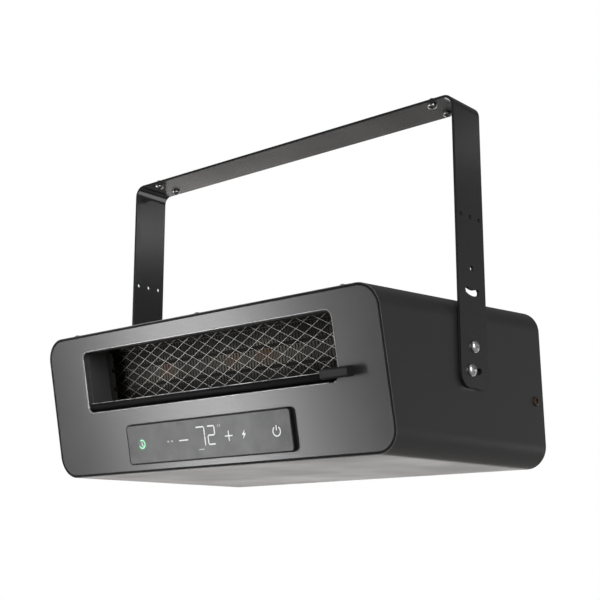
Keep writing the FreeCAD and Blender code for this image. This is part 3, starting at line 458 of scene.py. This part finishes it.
def heat_tinted(name, front, middle, hot_spots):
    """Aluminium with a heat tint; front and middle are lengths along the panel's inward and upward axes."""
    tree, shader = new_finish(name)
    grained = group_node(tree, coat_grain, Scale=500.0)
    tint = add(tree, "ShaderNodeValToRGB")
    stops = tint.color_ramp.elements
    for number, (position, tone) in enumerate(HEAT_TONES):
        stop = stops[number] if number < len(stops) else stops.new(position)
        stop.position, stop.color = position, (*tone, 1)
    height = measure(tree, "DOT_PRODUCT", panel_upward)
    away = calc(tree, "ABSOLUTE", calc(tree, "SUBTRACT", height, middle))
    cooler = map_range(tree, away, *FROM_MIDDLE)
    warmth = calc(tree, "ADD", span(tree, grained["Mottle"], 0.36, 0.56), cooler)
    for spot in hot_spots:
        hotter = map_range(tree, measure(tree, "DISTANCE", spot), *FROM_HOT_SPOT)
        warmth = calc(tree, "ADD", warmth, hotter)
    link(tree, warmth, tint.inputs["Fac"])
    # Painted shade: the folds turn black from just behind their front edge.
    fold_shade = map_range(tree, measure(tree, "DOT_PRODUCT", panel_inward), front, front + PAINTED_SHADE_DEPTH)
    # Painted shade towards the outlet's left end, as on the guard's wires.
    edge = with_painted_end_shade(tree, tint.outputs["Color"], 0.3)
    link(tree, tone_mix(tree, fold_shade, edge, PAINTED_SHADE_TONE), shader.inputs["Base Color"])
    link(tree, span(tree, grained["Height"], 0.38, 0.50), shader.inputs["Roughness"])
    shader.inputs["Metallic"].default_value = 1.0
    bump(tree, shader, grained["Height"], strength=0.2, depth=0.00005)


fin_points = [vertex.co for vertex in nodes["heater_fins"].data.vertices]
fin_front = min(panel_inward.dot(point) for point in fin_points)
fin_heights = [panel_upward.dot(point) for point in fin_points]
fin_middle = (min(fin_heights) + max(fin_heights)) / 2
heat_tinted("fin_aluminium", fin_front, fin_middle, [panel_point(u, HOT_DEPTH, v) for u, v in HOT_SPOTS])
print("fins are tinted round", len(HOT_SPOTS), "hot spots")

# %% [markdown]
# Three finishes need a recipe of their own. The touch plate is a printed film with smudges, and a faint halo
# of light round its green ring. The circuit boards show copper tracks under green lacquer, drawn with a
# brick pattern. The floor is a pale plain sheet that looks white to the camera and bright far behind.

# %% Touch film and circuit board
RING_SIGN = (-97.5, 131.8)
HALO_NEAR, HALO_FAR = 3 * MM, 9 * MM

tree, shader = new_finish("touch_film")
grained = group_node(tree, coat_grain, Scale=2200.0)
smudges = noise(tree, scale=55.0, detail=2.0).outputs["Fac"]
film = tone_mix(tree, smudges, (0.012, 0.0125, 0.0135), (0.078, 0.079, 0.081))
link(tree, film, shader.inputs["Base Color"])
link(tree, span(tree, grained["Mottle"], 0.32, 0.38), shader.inputs["Roughness"])
shader.inputs["Specular IOR Level"].default_value = 0.3
bump(tree, shader, grained["Height"], strength=0.2, depth=0.00002)
ring_place = panel_point(RING_SIGN[0], touch_low.y / MM, RING_SIGN[1])
from_ring = measure(tree, "DISTANCE", ring_place)
halo = map_range(tree, from_ring, HALO_NEAR, HALO_FAR, 1.0, 0.0, smooth=True)
link(tree, tone_mix(tree, halo, (0, 0, 0), (0.010, 0.080, 0.036)), shader.inputs["Emission Color"])
shader.inputs["Emission Strength"].default_value = 1.0

tree, shader = new_finish("board_green")
tracks = add(tree, "ShaderNodeTexBrick", scale=140.0, mortar_size=0.03)
tracks.inputs["Color1"].default_value = (0.020, 0.105, 0.048, 1)
tracks.inputs["Color2"].default_value = (0.030, 0.140, 0.062, 1)
tracks.inputs["Mortar"].default_value = (0.070, 0.230, 0.110, 1)
grained = group_node(tree, coat_grain, Scale=600.0)
link(tree, object_coords(tree), tracks.inputs["Vector"])
link(tree, tracks.outputs["Color"], shader.inputs["Base Color"])
link(tree, span(tree, grained["Mottle"], 0.30, 0.40), shader.inputs["Roughness"])
bump(tree, shader, tracks.outputs["Fac"], strength=0.2, depth=0.00005)
print("finishes so far:", len(finishes))

# %% Floor finish
CAMERA_SHARE = 0.7
FAR_BACK = (-0.6, 0.8, 0)
# Two distances towards the far back, in metres, and the glow's strength at each of them.
BACK_GLOW = (3.8, 5.2, 0.35, 4.4)


def glow_over(tree, surface, factor, colour, strength=None):
    """A glow mixed over a surface by a factor; its strength is another node's output, or 1."""
    lit = add(tree, "ShaderNodeEmission")
    lit.inputs["Color"].default_value = (*colour, 1)
    if strength is not None:
        link(tree, strength, lit.inputs["Strength"])
    mixed = add(tree, "ShaderNodeMixShader")
    link(tree, factor, mixed.inputs["Fac"])
    link(tree, surface, mixed.inputs[1])
    link(tree, lit.outputs[0], mixed.inputs[2])
    return mixed.outputs[0]


tree, shader = new_finish("pale_floor")
grained = group_node(tree, coat_grain, Scale=60.0)
pale = tone_mix(tree, grained["Mottle"], (0.79, 0.765, 0.745), (0.82, 0.795, 0.775))
link(tree, pale, shader.inputs["Base Color"])
link(tree, span(tree, grained["Mottle"], 0.75, 0.85), shader.inputs["Roughness"])
rays = add(tree, "ShaderNodeLightPath").outputs
to_camera = calc(tree, "MULTIPLY", rays["Is Camera Ray"], CAMERA_SHARE)
brighter = map_range(tree, measure(tree, "DOT_PRODUCT", FAR_BACK), *BACK_GLOW)
surface = glow_over(tree, shader.outputs[0], to_camera, WHITE)
surface = glow_over(tree, surface, rays["Is Glossy Ray"], (0.95, 0.92, 0.90), brighter)
link(tree, surface, tree.nodes["Material Output"].inputs["Surface"])
floor_mesh.materials.append(finishes["pale_floor"])
print("finishes:", len(finishes))

# %% [markdown]
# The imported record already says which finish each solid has, so its list of subparts dresses every CAD node.
# CAD solids have perfectly sharp edges, which never catch the light. A Weld modifier joins their loose
# triangles and a narrow Bevel rounds the edges of the pieces that are seen close up.

# %% Dress the CAD nodes
for part in frame["record"]["subparts"]:
    mesh = nodes[part["node"]].data
    mesh.materials.clear()
    mesh.materials.append(finishes[part["material_slot"]])


def soften(node, width):
    weld = nodes[node].modifiers.new("join", "WELD")
    weld.merge_threshold = 0.002 * MM
    rounding = nodes[node].modifiers.new("edge", "BEVEL")
    rounding.width = width * MM
    rounding.segments = 2
    rounding.limit_method = "ANGLE"
    rounding.angle_limit = math.radians(40)
    rounding.use_clamp_overlap = True
    rounding.harden_normals = True


soft_edges = {"louver_blade": 0.3, "louver_knob": 0.6, "control_bezel": 0.5, "touch_plate": 0.3}
for node, width in soft_edges.items():
    soften(node, width)
nodes["louver_blade"].data.materials[0] = finishes["louver_black"]
nodes["bracket_strap"].data.materials[0] = finishes["strap_powder"]

# %% [markdown]
# The finer pieces are drawn with bmesh. These helpers start the simple forms that recur, a plate and a round
# rod, cut them, give a sheet its thickness, and turn a finished bmesh into an object at the origin.

# %% Shape helpers


def mesh_object(name, shape, finish):
    """A finished bmesh as an object at the origin."""
    mesh = bpy.data.meshes.new(name)
    shape.to_mesh(mesh)
    shape.free()
    mesh.materials.append(finishes[finish])
    piece = bpy.data.objects.new(name, mesh)
    bpy.context.scene.collection.objects.link(piece)
    return piece


def smooth_faces(piece, sharp):
    """Shades a piece smooth, apart from edges that are sharper than an angle in degrees."""
    for face in piece.data.polygons:
        face.use_smooth = True
    piece.data.set_sharp_from_angle(angle=math.radians(sharp))


def plate(shape, width, height):
    """A rectangle in the XY plane round the origin; returns its corners."""
    made = bmesh.ops.create_grid(shape, x_segments=1, y_segments=1, size=0.5)["verts"]
    bmesh.ops.scale(shape, vec=(width, height, 1), verts=made)
    return made


def rod(shape, radius, length, sides):
    """A round rod along X, with its middle at the origin; returns its corners."""
    made = bmesh.ops.create_cone(shape, cap_ends=True, segments=sides, radius1=radius, radius2=radius,
                                 depth=length)["verts"]
    bmesh.ops.rotate(shape, cent=(0, 0, 0), matrix=Matrix.Rotation(math.radians(90), 3, "Y"), verts=made)
    return made


def cut_across(shape, point, normal):
    bmesh.ops.bisect_plane(shape, geom=[*shape.verts, *shape.edges, *shape.faces], plane_co=point,
                           plane_no=normal)


def thicken(shape, thickness):
    """Makes a sheet solid, with its faces turned outward."""
    bmesh.ops.solidify(shape, geom=shape.faces, thickness=thickness)
    bmesh.ops.recalc_face_normals(shape, faces=shape.faces)


print("shape helpers ready")

# %% [markdown]
# Screws are turned parts, so each one is a profile spun round its axis. The head is a shallow dome, and the
# shank has ring grooves that read as a thread.

# %% Turned profiles
# A groove begins and is deepest at these shares of the pitch, and its root has this share of the radius.
GROOVE_START, GROOVE_DEEPEST, GROOVE_ROOT = 0.3, 0.65, 0.86


def turned(profile, steps=40):
    """Spins (radius, along) points round Z into a closed bmesh."""
    shape = bmesh.new()
    line = [shape.verts.new((radius * MM, 0, along * MM)) for radius, along in profile]
    sides = [shape.edges.new(pair) for pair in zip(line, line[1:])]
    bmesh.ops.spin(shape, geom=line + sides, cent=(0, 0, 0), axis=(0, 0, 1), angle=2 * math.pi,
                   steps=steps, use_merge=True)
    bmesh.ops.remove_doubles(shape, verts=shape.verts, dist=1e-7)
    bmesh.ops.recalc_face_normals(shape, faces=shape.faces)
    return shape


def dome(width, height, rim, count=7):
    """Profile of a domed head, from its top to its seat at zero."""
    points = []
    for step in range(count):
        angle = math.pi / 2 * step / (count - 1)
        points.append((width / 2 * math.sin(angle), -rim - (height - rim) * math.cos(angle)))
    return points + [(width / 2, 0)]


def grooves(radius, start, finish, pitch=1.0, chamfer=0.4):
    """Ring grooves between two heights of a shank, with a chamfered end."""
    points = []
    for step in range(int((finish - start) / pitch)):
        at = start + step * pitch
        points += [(radius, at), (radius, at + GROOVE_START * pitch)]
        points += [(radius * GROOVE_ROOT, at + GROOVE_DEEPEST * pitch)]
    return points + [(radius, finish - chamfer), (radius - chamfer, finish), (0, finish)]


print("profile helpers ready")

# %% [markdown]
# The recess is cut with a Boolean: two crossed wedges for a cross recess, or a six-sided plug for a socket.
# Where a cutter only grazes the head it leaves slivers, so the cut mesh is cleaned.

# %% Recesses
CUT_OVERLAP = 0.05
# A wing's shares of the head's width and height, its thickness by its width, and its floor by its top.
WING_SPAN, WING_DEPTH, WING_THICK, WING_FLOOR = 0.56, 0.6, 0.2, (0.45, 0.6, 1)


def wing_cutter(width, top, depth, turn):
    """One wedge of a cross recess, wide at the head's top and narrow at the recess's floor."""
    shape = bmesh.new()
    bmesh.ops.create_cube(shape, size=1.0)
    bmesh.ops.scale(shape, vec=(width * MM, WING_THICK * width * MM, depth * MM), verts=shape.verts)
    low = [vertex for vertex in shape.verts if vertex.co.z > 0]
    bmesh.ops.scale(shape, vec=WING_FLOOR, verts=low)
    bmesh.ops.translate(shape, vec=(0, 0, (top + depth / 2 - CUT_OVERLAP) * MM), verts=shape.verts)
    bmesh.ops.rotate(shape, cent=(0, 0, 0), matrix=Matrix.Rotation(math.radians(turn), 3, "Z"),
                     verts=shape.verts)
    return shape


def socket_cutter(width, top, depth):
    """Six-sided plug for a hexagon socket."""
    shape = bmesh.new()
    bmesh.ops.create_cone(shape, cap_ends=True, segments=6, radius1=width / 2 * MM, radius2=width / 2 * MM,
                          depth=depth * MM)
    bmesh.ops.translate(shape, vec=(0, 0, (top + depth / 2 - CUT_OVERLAP) * MM), verts=shape.verts)
    return shape


def cut_mesh(body, cutters):
    """Mesh of body with the cutters taken out of it, one after the other."""
    target = mesh_object("cut_body", body, "zinc")
    helpers = [mesh_object("cutter", cutter, "zinc") for cutter in cutters]
    for helper in helpers:
        modifier = target.modifiers.new("recess", "BOOLEAN")
        modifier.object = helper
        modifier.operation = "DIFFERENCE"
        modifier.solver = "EXACT"
    mesh = bpy.data.meshes.new_from_object(target.evaluated_get(bpy.context.evaluated_depsgraph_get()))
    for helper in [target] + helpers:
        bpy.data.objects.remove(helper)
    shape = bmesh.new()
    shape.from_mesh(mesh)
    bmesh.ops.remove_doubles(shape, verts=shape.verts, dist=2e-6)
    bmesh.ops.dissolve_degenerate(shape, edges=shape.edges, dist=1e-6)
    shape.to_mesh(mesh)
    shape.free()
    return mesh


def cross_screw(width, height, rim, shank, length, waist=()):
    """Mesh of a screw with a cross recess; waist holds plain points between its head and its thread."""
    begin = waist[-1][1] if waist else 0
    profile = dome(width, height, rim) + list(waist) + grooves(shank / 2, begin, length)
    cutters = [wing_cutter(WING_SPAN * width, -height, WING_DEPTH * height, turn) for turn in (0, 90)]
    return cut_mesh(turned(profile), cutters)


print("screw maker ready")

# %% [markdown]
# One screw mesh goes to every place of its CAD node. The copies stay together in one object, which takes
# that node's place.

# %% Seats


def set_screws(node, body, slot, mesh, seats, place, turns, finish=None):
    """One object with a copy of the screw at every seat: (point in mm, direction of the shank).

    turns is the angle, in degrees, by which each head is turned on from the last.
    """
    shape = bmesh.new()
    for number, (point, direction) in enumerate(seats):
        known = len(shape.verts)
        shape.from_mesh(mesh)
        fresh = list(shape.verts)[known:]
        spin = Matrix.Rotation(math.radians(turns * (number + 1)), 4, "Z")
        lean = Vector((0, 0, 1)).rotation_difference(Vector(direction)).to_matrix().to_4x4()
        matrix = place @ Matrix.Translation(Vector(point) * MM) @ lean @ spin
        bmesh.ops.transform(shape, matrix=matrix, verts=fresh)
    piece = mesh_object(node + "_turned", shape, finish or slot)
    smooth_faces(piece, sharp=35)
    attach(piece, body)
    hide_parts(node)
    print(node, len(seats), "screws,", len(piece.data.polygons), "faces")


print("seat maker ready")

# %% [markdown]
# Each list of seats mirrors its places from left to right or from front to back. The heads are turned by
# uneven angles, since no two real screws stop in line.

# %% Tilt bolts, housing screws and ceiling screws
leg_face, side_face, side_place = 248.1, 244, (126.5, -47)
lock_radius, lock_angle = 26, math.radians(17.2)
lock = (-lock_radius * math.sin(lock_angle), -lock_radius * math.cos(lock_angle))
bolt = cross_screw(width=12.6, height=4.6, rim=0.9, shank=6.0, length=12.1)
set_screws("pivot_bolts", "housing", "zinc", bolt,
           [((s * leg_face, 0, 0), (-s, 0, 0)) for s in (-1, 1)], housing_place, turns=28)
set_screws("lock_bolts", "housing", "zinc", bolt,
           [((s * leg_face, *lock), (-s, 0, 0)) for s in (-1, 1)], housing_place, turns=51)

small = cross_screw(width=7.5, height=2.6, rim=0.5, shank=4.0, length=8.0)
taper = math.radians(1.47)
into_top = (0, math.sin(taper), -math.cos(taper))
top_rows, top_columns = ((-150.5, 49.06), (131.5, 56.29)), (-198, 0, 198)
set_screws("top_screws", "housing", "zinc", small,
           [((x, y, z), into_top) for y, z in top_rows for x in top_columns], housing_place,
           turns=37, finish="black_powder")

stud = cross_screw(width=11.0, height=4.0, rim=0.8, shank=6.0, length=7.5, waist=[(2.7, 0), (2.7, 3.0)])
stud_x, stud_y, bar_face = 214.5, 15, -3
# The ceiling screws take the darker copy of zinc, painted shade.
set_screws("ceiling_screws", "bracket", "zinc", stud,
           [((sx * stud_x, sy * stud_y, bar_face), (0, 0, 1)) for sx in (-1, 1) for sy in (-1, 1)],
           strap_place, turns=63, finish="shade_dimmed_zinc")

plug = turned([(0, -2.0), (4.2, -2.0), (5.0, -1.6), (5.25, -0.9), (5.25, 0)] + grooves(2.5, 0, 8.0))
socketed = cut_mesh(plug, [socket_cutter(width=6.6, top=-2.0, depth=1.9)])
set_screws("side_screws", "housing", "brass", socketed,
           [((s * side_face, *side_place), (-s, 0, 0)) for s in (-1, 1)], housing_place, turns=20)

# %% [markdown]
# The heating core's fins are a thin aluminium ribbon folded to and fro between flat bars. CAD shows them as
# coarse teeth. Here each ribbon is a flat grid whose columns are lifted in the rhythm low, high, high, low,
# and a Solidify modifier gives the sheet its thickness.

# %% Folded fins
fin_low, fin_high = panel_box("heater_fins")
ribbons, folds, depth_share = 3, 80, 0.98
bar_gap, fold_gap, fin_sheet = 4.7 * MM, 0.2 * MM, 0.5 * MM
ribbon_height = (fin_high.z - fin_low.z - (ribbons - 1) * bar_gap) / ribbons
ribbon_depth = (fin_high.y - fin_low.y) * depth_share
columns = 4 * folds + 1
shape = bmesh.new()
for row in range(ribbons):
    made = bmesh.ops.create_grid(shape, x_segments=4 * folds, y_segments=1, size=0.5)["verts"]
    made.sort(key=lambda vertex: (round(vertex.co.y, 3), vertex.co.x))
    lifted = [v for number, v in enumerate(made) if (number % columns) % 4 in (1, 2)]
    bmesh.ops.scale(shape, vec=(fin_high.x - fin_low.x, ribbon_depth, 1), verts=made)
    floor_z = fin_low.z + row * (ribbon_height + bar_gap) + fold_gap
    bmesh.ops.translate(shape, vec=(0, (fin_low.y + fin_high.y) / 2, floor_z), verts=made)
    bmesh.ops.translate(shape, vec=(0, 0, ribbon_height - 2 * fold_gap), verts=lifted)
bmesh.ops.transform(shape, matrix=panel_place, verts=shape.verts)
fins = mesh_object("fin_ribbons", shape, "fin_aluminium")
thick = fins.modifiers.new("sheet", "SOLIDIFY")
thick.thickness = fin_sheet
thick.offset = 0
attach(fins, "housing")
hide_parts("heater_fins")
print("fins:", folds, "folds in each of", ribbons, "ribbons,", len(fins.data.polygons), "faces")

# %% [markdown]
# The guard in front of the core is a net in a border of sheet, which the duct and the core's frame clamp
# between them. The border starts as one plate that four cuts divide into nine fields, and the middle field
# is taken out.

# %% Guard border
guard_low, guard_high = panel_box("mesh_guard")
guard_middle = (guard_low + guard_high) / 2
wire = (guard_high.y - guard_low.y) / 4
net_half, net_top, net_low = 185.0, 20.2, 90.8
net = bmesh.new()
plate(net, guard_high.x - guard_low.x, guard_high.z - guard_low.z)
for half, across in ((net_half, (1, 0, 0)), ((net_low - net_top) / 2, (0, 1, 0))):
    for at in (-half, half):
        cut_across(net, Vector(across) * at * MM, across)
inner = [face for face in net.faces if face.calc_center_median().length < MM]
bmesh.ops.delete(net, geom=inner, context="FACES")
thicken(net, 4 * wire)
over = Matrix.Translation((0, guard_middle.y, guard_middle.z))
bmesh.ops.transform(net, matrix=over @ upright, verts=net.verts)
centre = sum(vertex.co.y for vertex in net.verts) / len(net.verts)
bmesh.ops.translate(net, vec=(0, guard_middle.y - centre, 0), verts=net.verts)
print("guard border:", len(net.faces), "faces")

# %% [markdown]
# CAD keeps the net as one flat cut sheet. A flat strand mirrors the same thing everywhere, but a round one
# shines only where its lean suits lamp and eye, so each strand is a thin round wire of its own here. Those
# that rise to the right lie in front of the others.

# %% Guard wires
net_columns, net_rows = 17, 6
column, row = 2 * net_half / net_columns, (net_low - net_top) / net_rows
lean = math.atan2(row, column)
for rising in (1, -1):
    for number in range(net_columns + net_rows):
        left = number + 0.5 - net_rows
        begin, stop = max(0, left), min(net_columns, left + net_rows)
        middle = (begin + stop) / 2
        height = middle - left if rising > 0 else left + net_rows - middle
        made = rod(net, wire, (stop - begin) * math.hypot(column, row) * MM + 4 * wire, sides=8)
        bmesh.ops.rotate(net, cent=(0, 0, 0), matrix=Matrix.Rotation(-rising * lean, 3, "Y"), verts=made)
        place = ((middle * column - net_half) * MM, guard_low.y + (2 - rising) * wire,
                 (height * row - net_low) * MM)
        bmesh.ops.translate(net, vec=place, verts=made)
bmesh.ops.transform(net, matrix=panel_place, verts=net.verts)
guard = mesh_object("guard_net", net, "mesh_steel")
smooth_faces(guard, sharp=50)
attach(guard, "housing")
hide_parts("mesh_guard")
print("guard:", 2 * (net_columns + net_rows), "wires,", len(guard.data.polygons), "faces with the border")

# %% [markdown]
# Two rings lie on the front. A black ring over the sleeve's rim and its joint with the panel is painted shade,
# which darkens that line as the joint's shade would, and the outlet has a narrow bead of bare metal. Each
# starts as one plate with rounded corners. Insets step across the ring and rise or fall with its form, and the
# middle is then taken out. The bead is open where the grip's neck swings down over the outlet's lower edge.

# %% Ring maker
RING_SHEET = 0.06 * MM


def widest(shape):
    return max(shape.faces, key=lambda face: face.calc_area())


def ring(name, half, top, low, corner, steps, lift, finish, gap=None):
    """A ring on the panel round (top, low), built inward by (across, rise) steps; all in mm.

    gap is a stretch of the lower side that is left open.
    """
    shape = bmesh.new()
    plate(shape, 2 * half * MM, (low - top) * MM)
    bmesh.ops.bevel(shape, geom=shape.verts, offset=corner * MM, offset_type="OFFSET", segments=12,
                    profile=0.5, affect="VERTICES", material=-1)
    for across, rise in steps:
        bmesh.ops.inset_region(shape, faces=[widest(shape)], use_boundary=True, use_even_offset=True,
                               thickness=across * MM, depth=rise * MM)
    bmesh.ops.delete(shape, geom=[widest(shape)], context="FACES")
    if gap:
        for at in gap:
            cut_across(shape, (at * MM, 0, 0), (1, 0, 0))
        within = [face for face in shape.faces if gap[0] * MM < face.calc_center_median().x < gap[1] * MM]
        below = [face for face in within if face.calc_center_median().y < 0]
        bmesh.ops.delete(shape, geom=below, context="FACES")
    thicken(shape, RING_SHEET)
    over = Matrix.Translation((0, -lift * MM, -(low + top) / 2 * MM))
    bmesh.ops.transform(shape, matrix=panel_place @ over @ upright, verts=shape.verts)
    piece = mesh_object(name, shape, finish)
    smooth_faces(piece, sharp=50)
    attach(piece, "housing")
    print(name, len(piece.data.polygons), "faces")


print("ring maker ready")

# %% Painted shade ring and bead
mouth = [into_panel @ vertex.co for vertex in nodes["housing_sleeve"].data.vertices]
mouth = [point / MM for point in mouth if abs(point.y) < 0.02 * MM]
face_half, face_top, face_low = max(p.x for p in mouth), -max(p.z for p in mouth), -min(p.z for p in mouth)
print("face in the panel's frame, mm:", round(face_half, 2), round(face_top, 2), round(face_low, 2))
face_round, edge_left, shade_ring_wide, shade_ring_lift = 25.2, 0.7, 2.4, 0.08
# A black ring of painted shade over the sleeve's rim and the joint.
ring("rim_shade_ring", face_half - edge_left, face_top + edge_left, face_low - edge_left, face_round - edge_left,
     ((shade_ring_wide, 0.0),), shade_ring_lift, "louver_black")

outlet_low, outlet_high, outlet_half, outlet_round = 89.8, 21.2, 184.0, 8.0
bead_out, bead_lift, neck_gap = 1.5, 0.04, (171.0, 178.0)
bead_steps = ((0.25, 0.10), (0.20, 0.0), (0.15, -0.10), (0.30, -0.30), (0.35, -0.40), (0.10, -0.25))
ring("outlet_edge", outlet_half + bead_out, outlet_high - bead_out, outlet_low + bead_out,
     outlet_round + bead_out, bead_steps, bead_lift, "bead_metal", gap=neck_gap)

# %% [markdown]
# Two round metal rods on the blade's rounded nose stand in for its glint, one along its upper edge and a finer
# one below it; some part of each always mirrors the lamps. Their patches from dark to bright are a painted
# highlight that breaks the glint into dashes.

# %% Louver lines
axis_in, axis_down, nose, end_gap = 6.8, 84.0, 5.0, 2
on_axis = Matrix.Translation((0, axis_in * MM, -axis_down * MM))
to_nose = Matrix.Translation((0, -nose * MM, 0))
shape = bmesh.new()
for rise, thin in ((46, 0.24), (-28, 0.20)):
    made = rod(shape, thin * MM, 2 * (outlet_half - end_gap) * MM, sides=16)
    around = Matrix.Rotation(-math.radians(rise), 4, "X")
    bmesh.ops.transform(shape, matrix=panel_place @ on_axis @ around @ to_nose, verts=made)
# The rods carry a painted highlight in dashes, on top of the lamps' own reflection.
line = mesh_object("louver_glint_rods", shape, "glint_dash_metal")
smooth_faces(line, sharp=50)
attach(line, "louver")
print("louver edge:", len(line.data.polygons), "faces")

# %% [markdown]
# The duct's left wall has one upright step that catches the light. It is a narrow square bar on the wall,
# clear of the louver's end.

# %% Duct step
step_top, step_low, wall_x, step_in = 24.0, 79.5, -184.9, 8.4
step_wide, step_deep = 0.4, 0.9
shape = bmesh.new()
bmesh.ops.create_cube(shape, size=1.0)
bmesh.ops.scale(shape, vec=(step_wide * MM, step_deep * MM, (step_low - step_top) * MM), verts=shape.verts)
step_middle = Vector((wall_x, step_in, -(step_top + step_low) / 2)) * MM
bmesh.ops.translate(shape, vec=step_middle, verts=shape.verts)
bmesh.ops.transform(shape, matrix=panel_place, verts=shape.verts)
step = mesh_object("duct_step", shape, "zinc")
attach(step, "housing")
print("duct step:", len(step.data.polygons), "faces")

# %% [markdown]
# The signs on the touch plate are lit from behind. They glow with an almost even strength, a little brighter
# in places, as light guides do.

# %% Glowing finishes


def glow(name, dim, bright):
    tree, shader = new_finish(name)
    spots = noise(tree, scale=220.0, detail=1.0).outputs["Fac"]
    link(tree, tone_mix(tree, spots, dim, bright), shader.inputs["Emission Color"])
    shader.inputs["Emission Strength"].default_value = 1.0
    shader.inputs["Base Color"].default_value = (0.05, 0.05, 0.05, 1)
    shader.inputs["Roughness"].default_value = 0.35


glow("white_glow", (0.50, 0.51, 0.52), (0.72, 0.73, 0.74))
glow("pale_glow", (0.20, 0.215, 0.215), (0.28, 0.295, 0.295))
glow("faint_glow", (0.20, 0.27, 0.25), (0.26, 0.35, 0.32))
glow("green_glow", (0.16, 0.62, 0.34), (0.30, 0.85, 0.50))
print("glows:", [name for name in finishes if name.endswith("glow")])

# %% [markdown]
# Each sign is a thin plate that lies on the film. Strokes start as a single plate with cut corners, and
# rings are a short line spun round a centre. Places are in mm to the right and down from the panel's top.

# %% Sign maker
SIGN_LIFT = 0.03 * MM


def stroke(shape, ends, width):
    """A straight stroke between two points (across, down) in mm, with cut corners."""
    (u0, v0), (u1, v1) = ends
    made = plate(shape, (math.hypot(u1 - u0, v1 - v0) + width) * MM, width * MM)
    bmesh.ops.rotate(shape, cent=(0, 0, 0), matrix=Matrix.Rotation(math.atan2(v0 - v1, u1 - u0), 3, "Z"),
                     verts=made)
    bmesh.ops.translate(shape, vec=((u0 + u1) / 2 * MM, -(v0 + v1) / 2 * MM, 0), verts=made)
    bmesh.ops.bevel(shape, geom=made, offset=0.35 * width * MM, offset_type="OFFSET", segments=2,
                    profile=0.5, affect="VERTICES", material=-1)


def arc(shape, middle, radius, width, first, sweep):
    """Part of a ring round (across, down) in mm; angles in degrees, anticlockwise from the right."""
    turn = math.radians(first)
    centre = Vector((middle[0] * MM, -middle[1] * MM, 0))
    line = [shape.verts.new(centre + Vector((math.cos(turn), math.sin(turn), 0)) * r * MM)
            for r in (radius - width / 2, radius + width / 2)]
    side = shape.edges.new(line)
    bmesh.ops.spin(shape, geom=line + [side], cent=centre, axis=(0, 0, 1), angle=math.radians(sweep),
                   steps=28, use_merge=abs(sweep) >= 360)


def sign(name, shape, finish):
    """Lays flat artwork on the touch plate, gives it thickness and fixes it to the housing."""
    bmesh.ops.recalc_face_normals(shape, faces=shape.faces)
    thicken(shape, SIGN_LIFT)
    lift = Matrix.Translation((0, touch_low.y - SIGN_LIFT / 2, 0))
    bmesh.ops.transform(shape, matrix=panel_place @ lift @ upright, verts=shape.verts)
    piece = mesh_object(name, shape, finish)
    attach(piece, "housing")
    print(name, len(piece.data.polygons), "faces")


print("sign maker ready")

# %% Digits
top, middle, low, digit_width = 119.6, 129.2, 138.8, 1.4
seven = [((-11.6, top), (-1.4, top)), ((-0.4, top + 1.2), (-0.4, middle - 1.0)),
         ((-0.4, middle + 1.0), (-0.4, low))]
two = [((5.4, top), (13.6, top)), ((14.6, top + 1.2), (14.6, middle - 1.2)), ((5.6, middle), (13.4, middle)),
       ((4.6, middle + 1.2), (4.6, low - 1.2)), ((5.6, low), (13.8, low))]
shape = bmesh.new()
for ends in seven + two:
    stroke(shape, ends, digit_width)
sign("sign_digits", shape, "white_glow")

# %% Keys
shape = bmesh.new()
stroke(shape, ((-38.6, 131.8), (-26.0, 131.8)), 1.25)
stroke(shape, ((29.4, 131.8), (39.2, 131.8)), 1.2)
stroke(shape, ((34.3, 126.9), (34.3, 136.7)), 1.2)
arc(shape, (100.3, 132.0), radius=4.9, width=1.2, first=125, sweep=290)
stroke(shape, ((100.3, 126.4), (100.3, 130.6)), 1.2)
sign("sign_keys", shape, "white_glow")

shape = bmesh.new()
corners = [(57.2, 127.0), (52.8, 132.2), (55.3, 132.2), (54.0, 136.6), (58.6, 130.8), (56.0, 130.8)]
shape.faces.new([shape.verts.new((u * MM, -v * MM, 0)) for u, v in corners])
sign("sign_boost", shape, "white_glow")

# %% Small marks and ring
shape = bmesh.new()
for u in (-56.0, -50.0):
    stroke(shape, ((u - 0.7, 131.6), (u + 0.7, 131.6)), 1.6)
for u in (20.4, 23.2):
    stroke(shape, ((u, 119.2), (u, 121.0)), 1.0)
sign("sign_marks", shape, "pale_glow")

shape = bmesh.new()
stroke(shape, ((-10.4, 143.3), (-3.4, 143.3)), 1.0)
sign("sign_underline", shape, "faint_glow")

shape = bmesh.new()
arc(shape, RING_SIGN, radius=4.4, width=1.7, first=200, sweep=280)
sign("sign_ring", shape, "green_glow")
shape = bmesh.new()
stroke(shape, ((-97.5, 130.2), (-97.5, 132.4)), 1.3)
stroke(shape, ((-97.0, 133.0), (-95.6, 134.0)), 1.1)
sign("sign_ring_mark", shape, "white_glow")
